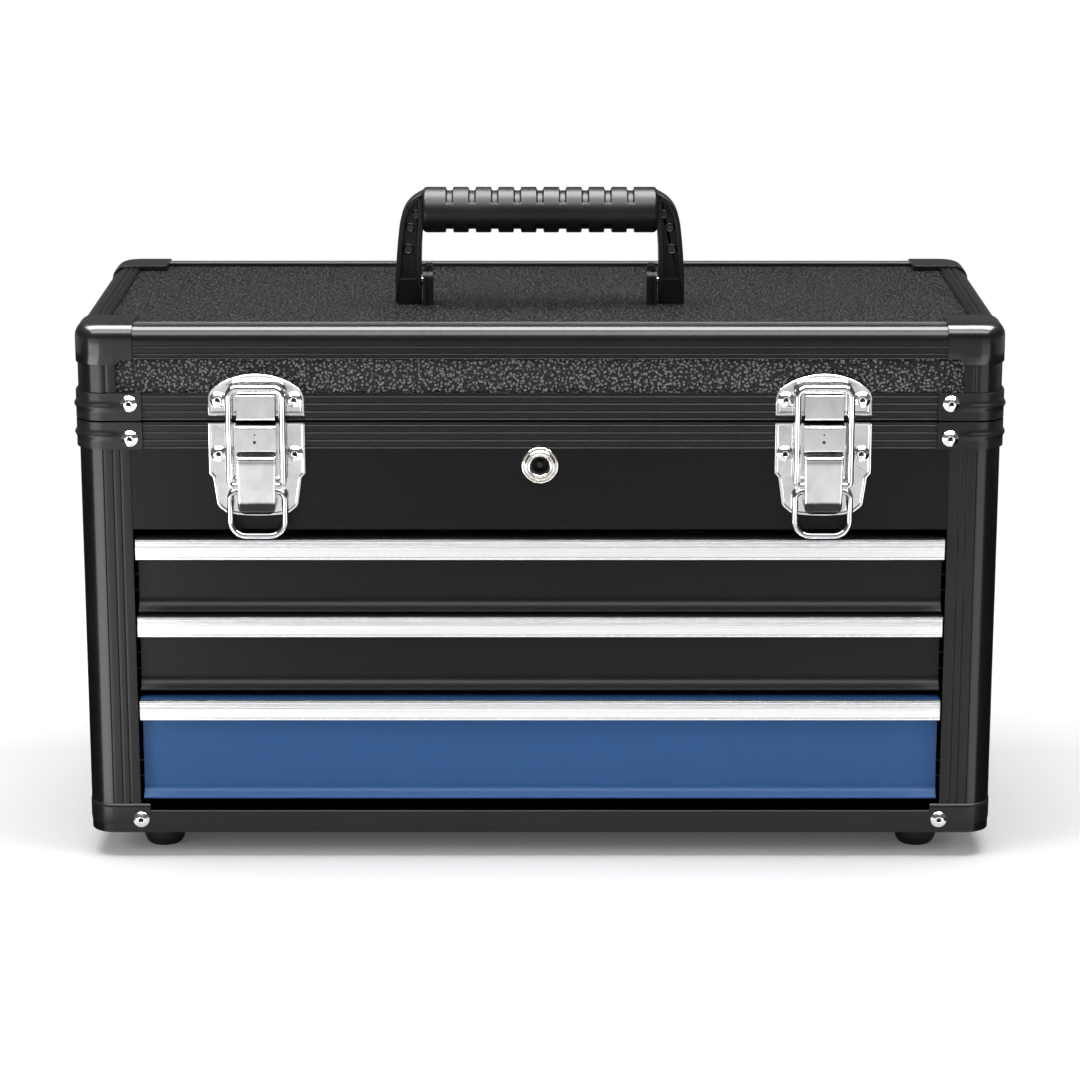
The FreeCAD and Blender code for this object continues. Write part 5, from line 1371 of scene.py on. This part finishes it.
def makeLock():
    place = facing(0, chest["front"] + lockLook["seat"], lockLook["z"], "front")
    bm = bmesh.new()
    moved(bm, addTurned(bm, lockLook["flange"], 72), place)
    # the locating pip at the upper right of the flange
    pip = addTurned(bm, [(0, 1.2), (0.45, 1.2), (0.75, 1.75), (0.6, 1.95), (0.35, 1.9),
                         (0.25, 1.6), (0, 1.55)], 20, False)
    moved(bm, pip, place @ shiftBy(3.9, 7.9, 0))
    finishPiece("lockFlange", bm, "case", finishes["lockNickel"],
                ("lock_barrel",), edge=0, angle=50)
    bm = bmesh.new()
    # the plug is black all over as painted shade of the key hole
    moved(bm, addTurned(bm, lockLook["plug"], 48, False), place)
    finishPiece("lockPlug", bm, "lock_core", finishes["holeShadeBlack"],
                ("lock_plug",), edge=0, angle=50)


# Bowl-shaped rubber feet with a sunk screw

footLook = {
    "x": 217.8, "fromFront": 29.4,
    "profile": [(5.2, 0.0), (8.3, 0.0), (9.1, 0.25), (10.2, 1.3), (11.2, 3.2), (11.9, 5.6),
                (12.3, 8.5), (12.4, 12.6), (12.25, 13.8), (11.7, 14.6), (11.0, 15.0),
                (4.2, 15.0), (4.2, 14.6), (2.15, 14.6), (2.15, 6.0), (5.2, 6.0)],
}


def makeFeet():
    bm = bmesh.new()
    for x in (-footLook["x"], footLook["x"]):
        for y in (chest["front"] + footLook["fromFront"], chest["rear"] - footLook["fromFront"]):
            moved(bm, addTurned(bm, footLook["profile"], 56), shiftBy(x, y, 0))
    return finishPiece("rubberFeet", bm, "case", finishes["footRubber"],
                       ("rubber_feet",), edge=0, angle=50)


makeGrip()
makeArms()
makeLugs()
makeLock()
makeFeet()
print("handle, lock and feet ready")


# Studio: white floor that keeps the shadow, one lamp overhead and soft ones at the sides

studio = {
    "floorHalf": 9.0,
    "floorWhite": 0.88,
    "floorGlow": 0.06,
    "whiteFrom": 0.50,
    "whiteTo": 1.05,
    "worldStrength": 0.26,
    "mirroredStrength": 0.12,
    "cameraDistance": 1.8838,
    "cameraHeight": 0.6720,
    "cameraPitch": 14.413,
    "lens": 115.75,
}


def makeFloor():
    bm = bmesh.new()
    bmesh.ops.create_grid(bm, x_segments=2, y_segments=2, size=studio["floorHalf"])
    mesh = bpy.data.meshes.new("studioFloor")
    bm.to_mesh(mesh)
    bm.free()
    floor = bpy.data.objects.new("studioFloor", mesh)
    bpy.context.scene.collection.objects.link(floor)
    material = bpy.data.materials.new("studioFloorWhite")
    material.use_nodes = True
    tree = material.node_tree
    tree.nodes.remove(tree.nodes["Principled BSDF"])
    output = tree.nodes["Material Output"]
    matte = addNode(tree, "ShaderNodeBsdfDiffuse")
    matte.inputs["Color"].default_value = (*(studio["floorWhite"],) * 3, 1)
    white = addNode(tree, "ShaderNodeEmission")
    place = addNode(tree, "ShaderNodeTexCoord")
    reach = addNode(tree, "ShaderNodeVectorMath", {"operation": "LENGTH"})
    tree.links.new(place.outputs["Object"], reach.inputs[0])
    far = rangeOf(tree, reach.outputs["Value"], studio["whiteFrom"], studio["whiteTo"], 0.0, 1.0)
    path = addNode(tree, "ShaderNodeLightPath")
    seen = path.outputs["Is Camera Ray"]
    glow = addNode(tree, "ShaderNodeEmission")
    tree.links.new(addMath(tree, "MULTIPLY", seen, studio["floorGlow"]), glow.inputs["Strength"])
    near = addNode(tree, "ShaderNodeAddShader")
    tree.links.new(matte.outputs[0], near.inputs[0])
    tree.links.new(glow.outputs[0], near.inputs[1])
    blendIn = addNode(tree, "ShaderNodeMixShader")
    tree.links.new(addMath(tree, "MULTIPLY", far, seen), blendIn.inputs["Fac"])
    tree.links.new(near.outputs[0], blendIn.inputs[1])
    tree.links.new(white.outputs[0], blendIn.inputs[2])
    tree.links.new(blendIn.outputs[0], output.inputs["Surface"])
    floor.data.materials.append(material)
    return floor


def makeWorld():
    world = bpy.data.worlds.new("studioWorld")
    bpy.context.scene.world = world
    world.use_nodes = True
    tree = world.node_tree
    background = tree.nodes["Background"]
    background.inputs["Color"].default_value = (1, 1, 1, 1)
    path = addNode(tree, "ShaderNodeLightPath")
    seen = addMath(tree, "MAXIMUM", path.outputs["Is Camera Ray"],
                   path.outputs["Is Transmission Ray"])
    dim = rangeOf(tree, path.outputs["Is Glossy Ray"], 0.0, 1.0, studio["worldStrength"],
                  studio["mirroredStrength"])
    mixed = addNode(tree, "ShaderNodeMix", {"data_type": "FLOAT"})
    tree.links.new(seen, mixed.inputs[0])
    tree.links.new(dim, mixed.inputs[2])
    mixed.inputs[3].default_value = 1.0
    tree.links.new(mixed.outputs[0], background.inputs["Strength"])


def addLamp(name, place, target, width, height, watts):
    data = bpy.data.lights.new(name, "AREA")
    data.shape = "RECTANGLE"
    data.size = width
    data.size_y = height
    data.energy = watts
    lamp = bpy.data.objects.new(name, data)
    lamp.visible_glossy = False
    bpy.context.scene.collection.objects.link(lamp)
    lamp.location = place
    lamp.rotation_euler = (Vector(target) - Vector(place)).to_track_quat("-Z", "Y").to_euler()
    return lamp


# Softboxes seen only as reflections: the lamps light the chest, these draw its highlights
def addSoftbox(name, corners, strength):
    mesh = bpy.data.meshes.new(name)
    mesh.from_pydata(corners, [], [(0, 1, 2, 3)])
    box = bpy.data.objects.new(name, mesh)
    bpy.context.scene.collection.objects.link(box)
    material = bpy.data.materials.new(name + "Glow")
    material.use_nodes = True
    tree = material.node_tree
    tree.nodes.remove(tree.nodes["Principled BSDF"])
    glow = addNode(tree, "ShaderNodeEmission", Strength=strength)
    tree.links.new(glow.outputs[0], tree.nodes["Material Output"].inputs["Surface"])
    box.data.materials.append(material)
    for ray in ("camera", "diffuse", "transmission", "shadow"):
        setattr(box, "visible_" + ray, False)


# Corners of a sheet across the chest from one (y, z) to another
def overheadSheet(half, near, far):
    return [(-half, *near), (half, *near), (half, *far), (-half, *far)]


# A wedge on the floor between two directions from a front corner, in degrees from straight ahead
def floorWedge(x, first, second, near, far):
    spots = []
    for turn, reach in ((first, near), (first, far), (second, far), (second, near)):
        a = math.radians(turn)
        spots.append((x + reach * math.sin(a), chest["front"] * mm - reach * math.cos(a), 0.002))
    return spots


def makeCamera():
    data = bpy.data.cameras.new("photoCamera")
    data.lens = studio["lens"]
    data.sensor_width = 36.0
    camera = bpy.data.objects.new("photoCamera", data)
    bpy.context.scene.collection.objects.link(camera)
    camera.location = (0.0, chest["front"] * mm - studio["cameraDistance"],
                       studio["cameraHeight"])
    camera.rotation_euler = (math.radians(90 - studio["cameraPitch"]), 0, 0)
    data.clip_start = 0.05
    data.clip_end = 60.0
    bpy.context.scene.camera = camera


# Each lamp's place, target, width, height and watts
lamps = {
    "overheadLamp": ((0.0, -0.14, 1.70), (0, 0, 0.2), 1.9, 0.9, 30.0),
    "leftLamp": ((-1.7, -1.3, 0.9), (0, 0, 0.15), 0.7, 1.1, 17.0),
    "rightLamp": ((1.8, -1.0, 0.9), (0, 0, 0.15), 0.5, 1.1, 8.0),
    "backLamp": ((0.0, 1.6, 1.2), (0, 0, 0.2), 1.8, 0.5, 8.0),
}
# Corners and strength of what shows only in reflections; a strength of zero is a black card
softboxes = {
    "overheadBox": (overheadSheet(1.3, (-0.42, 1.6), (0.55, 1.6)), 24.0),
    "frontTopBox": (overheadSheet(1.3, (-1.25, 1.3), (-0.62, 1.55)), 10.0),
    "leftBox": (floorWedge(-0.25, -10, -54, 0.08, 1.7), 7.0),
    "rightBox": (floorWedge(0.25, 13, 46, 0.08, 1.5), 3.2),
    "leftFlag": (floorWedge(-0.25, -56, -170, 0.03, 2.6), 0.0),
    "rightFlag": (floorWedge(0.25, 48, 170, 0.03, 2.6), 0.0),
}

makeFloor()
makeWorld()
for lampName, settings in lamps.items():
    addLamp(lampName, *settings)
for boxName, (boxCorners, strength) in softboxes.items():
    addSoftbox(boxName, boxCorners, strength)
makeCamera()
bpy.context.scene.view_settings.view_transform = "Standard"
print("studio ready")
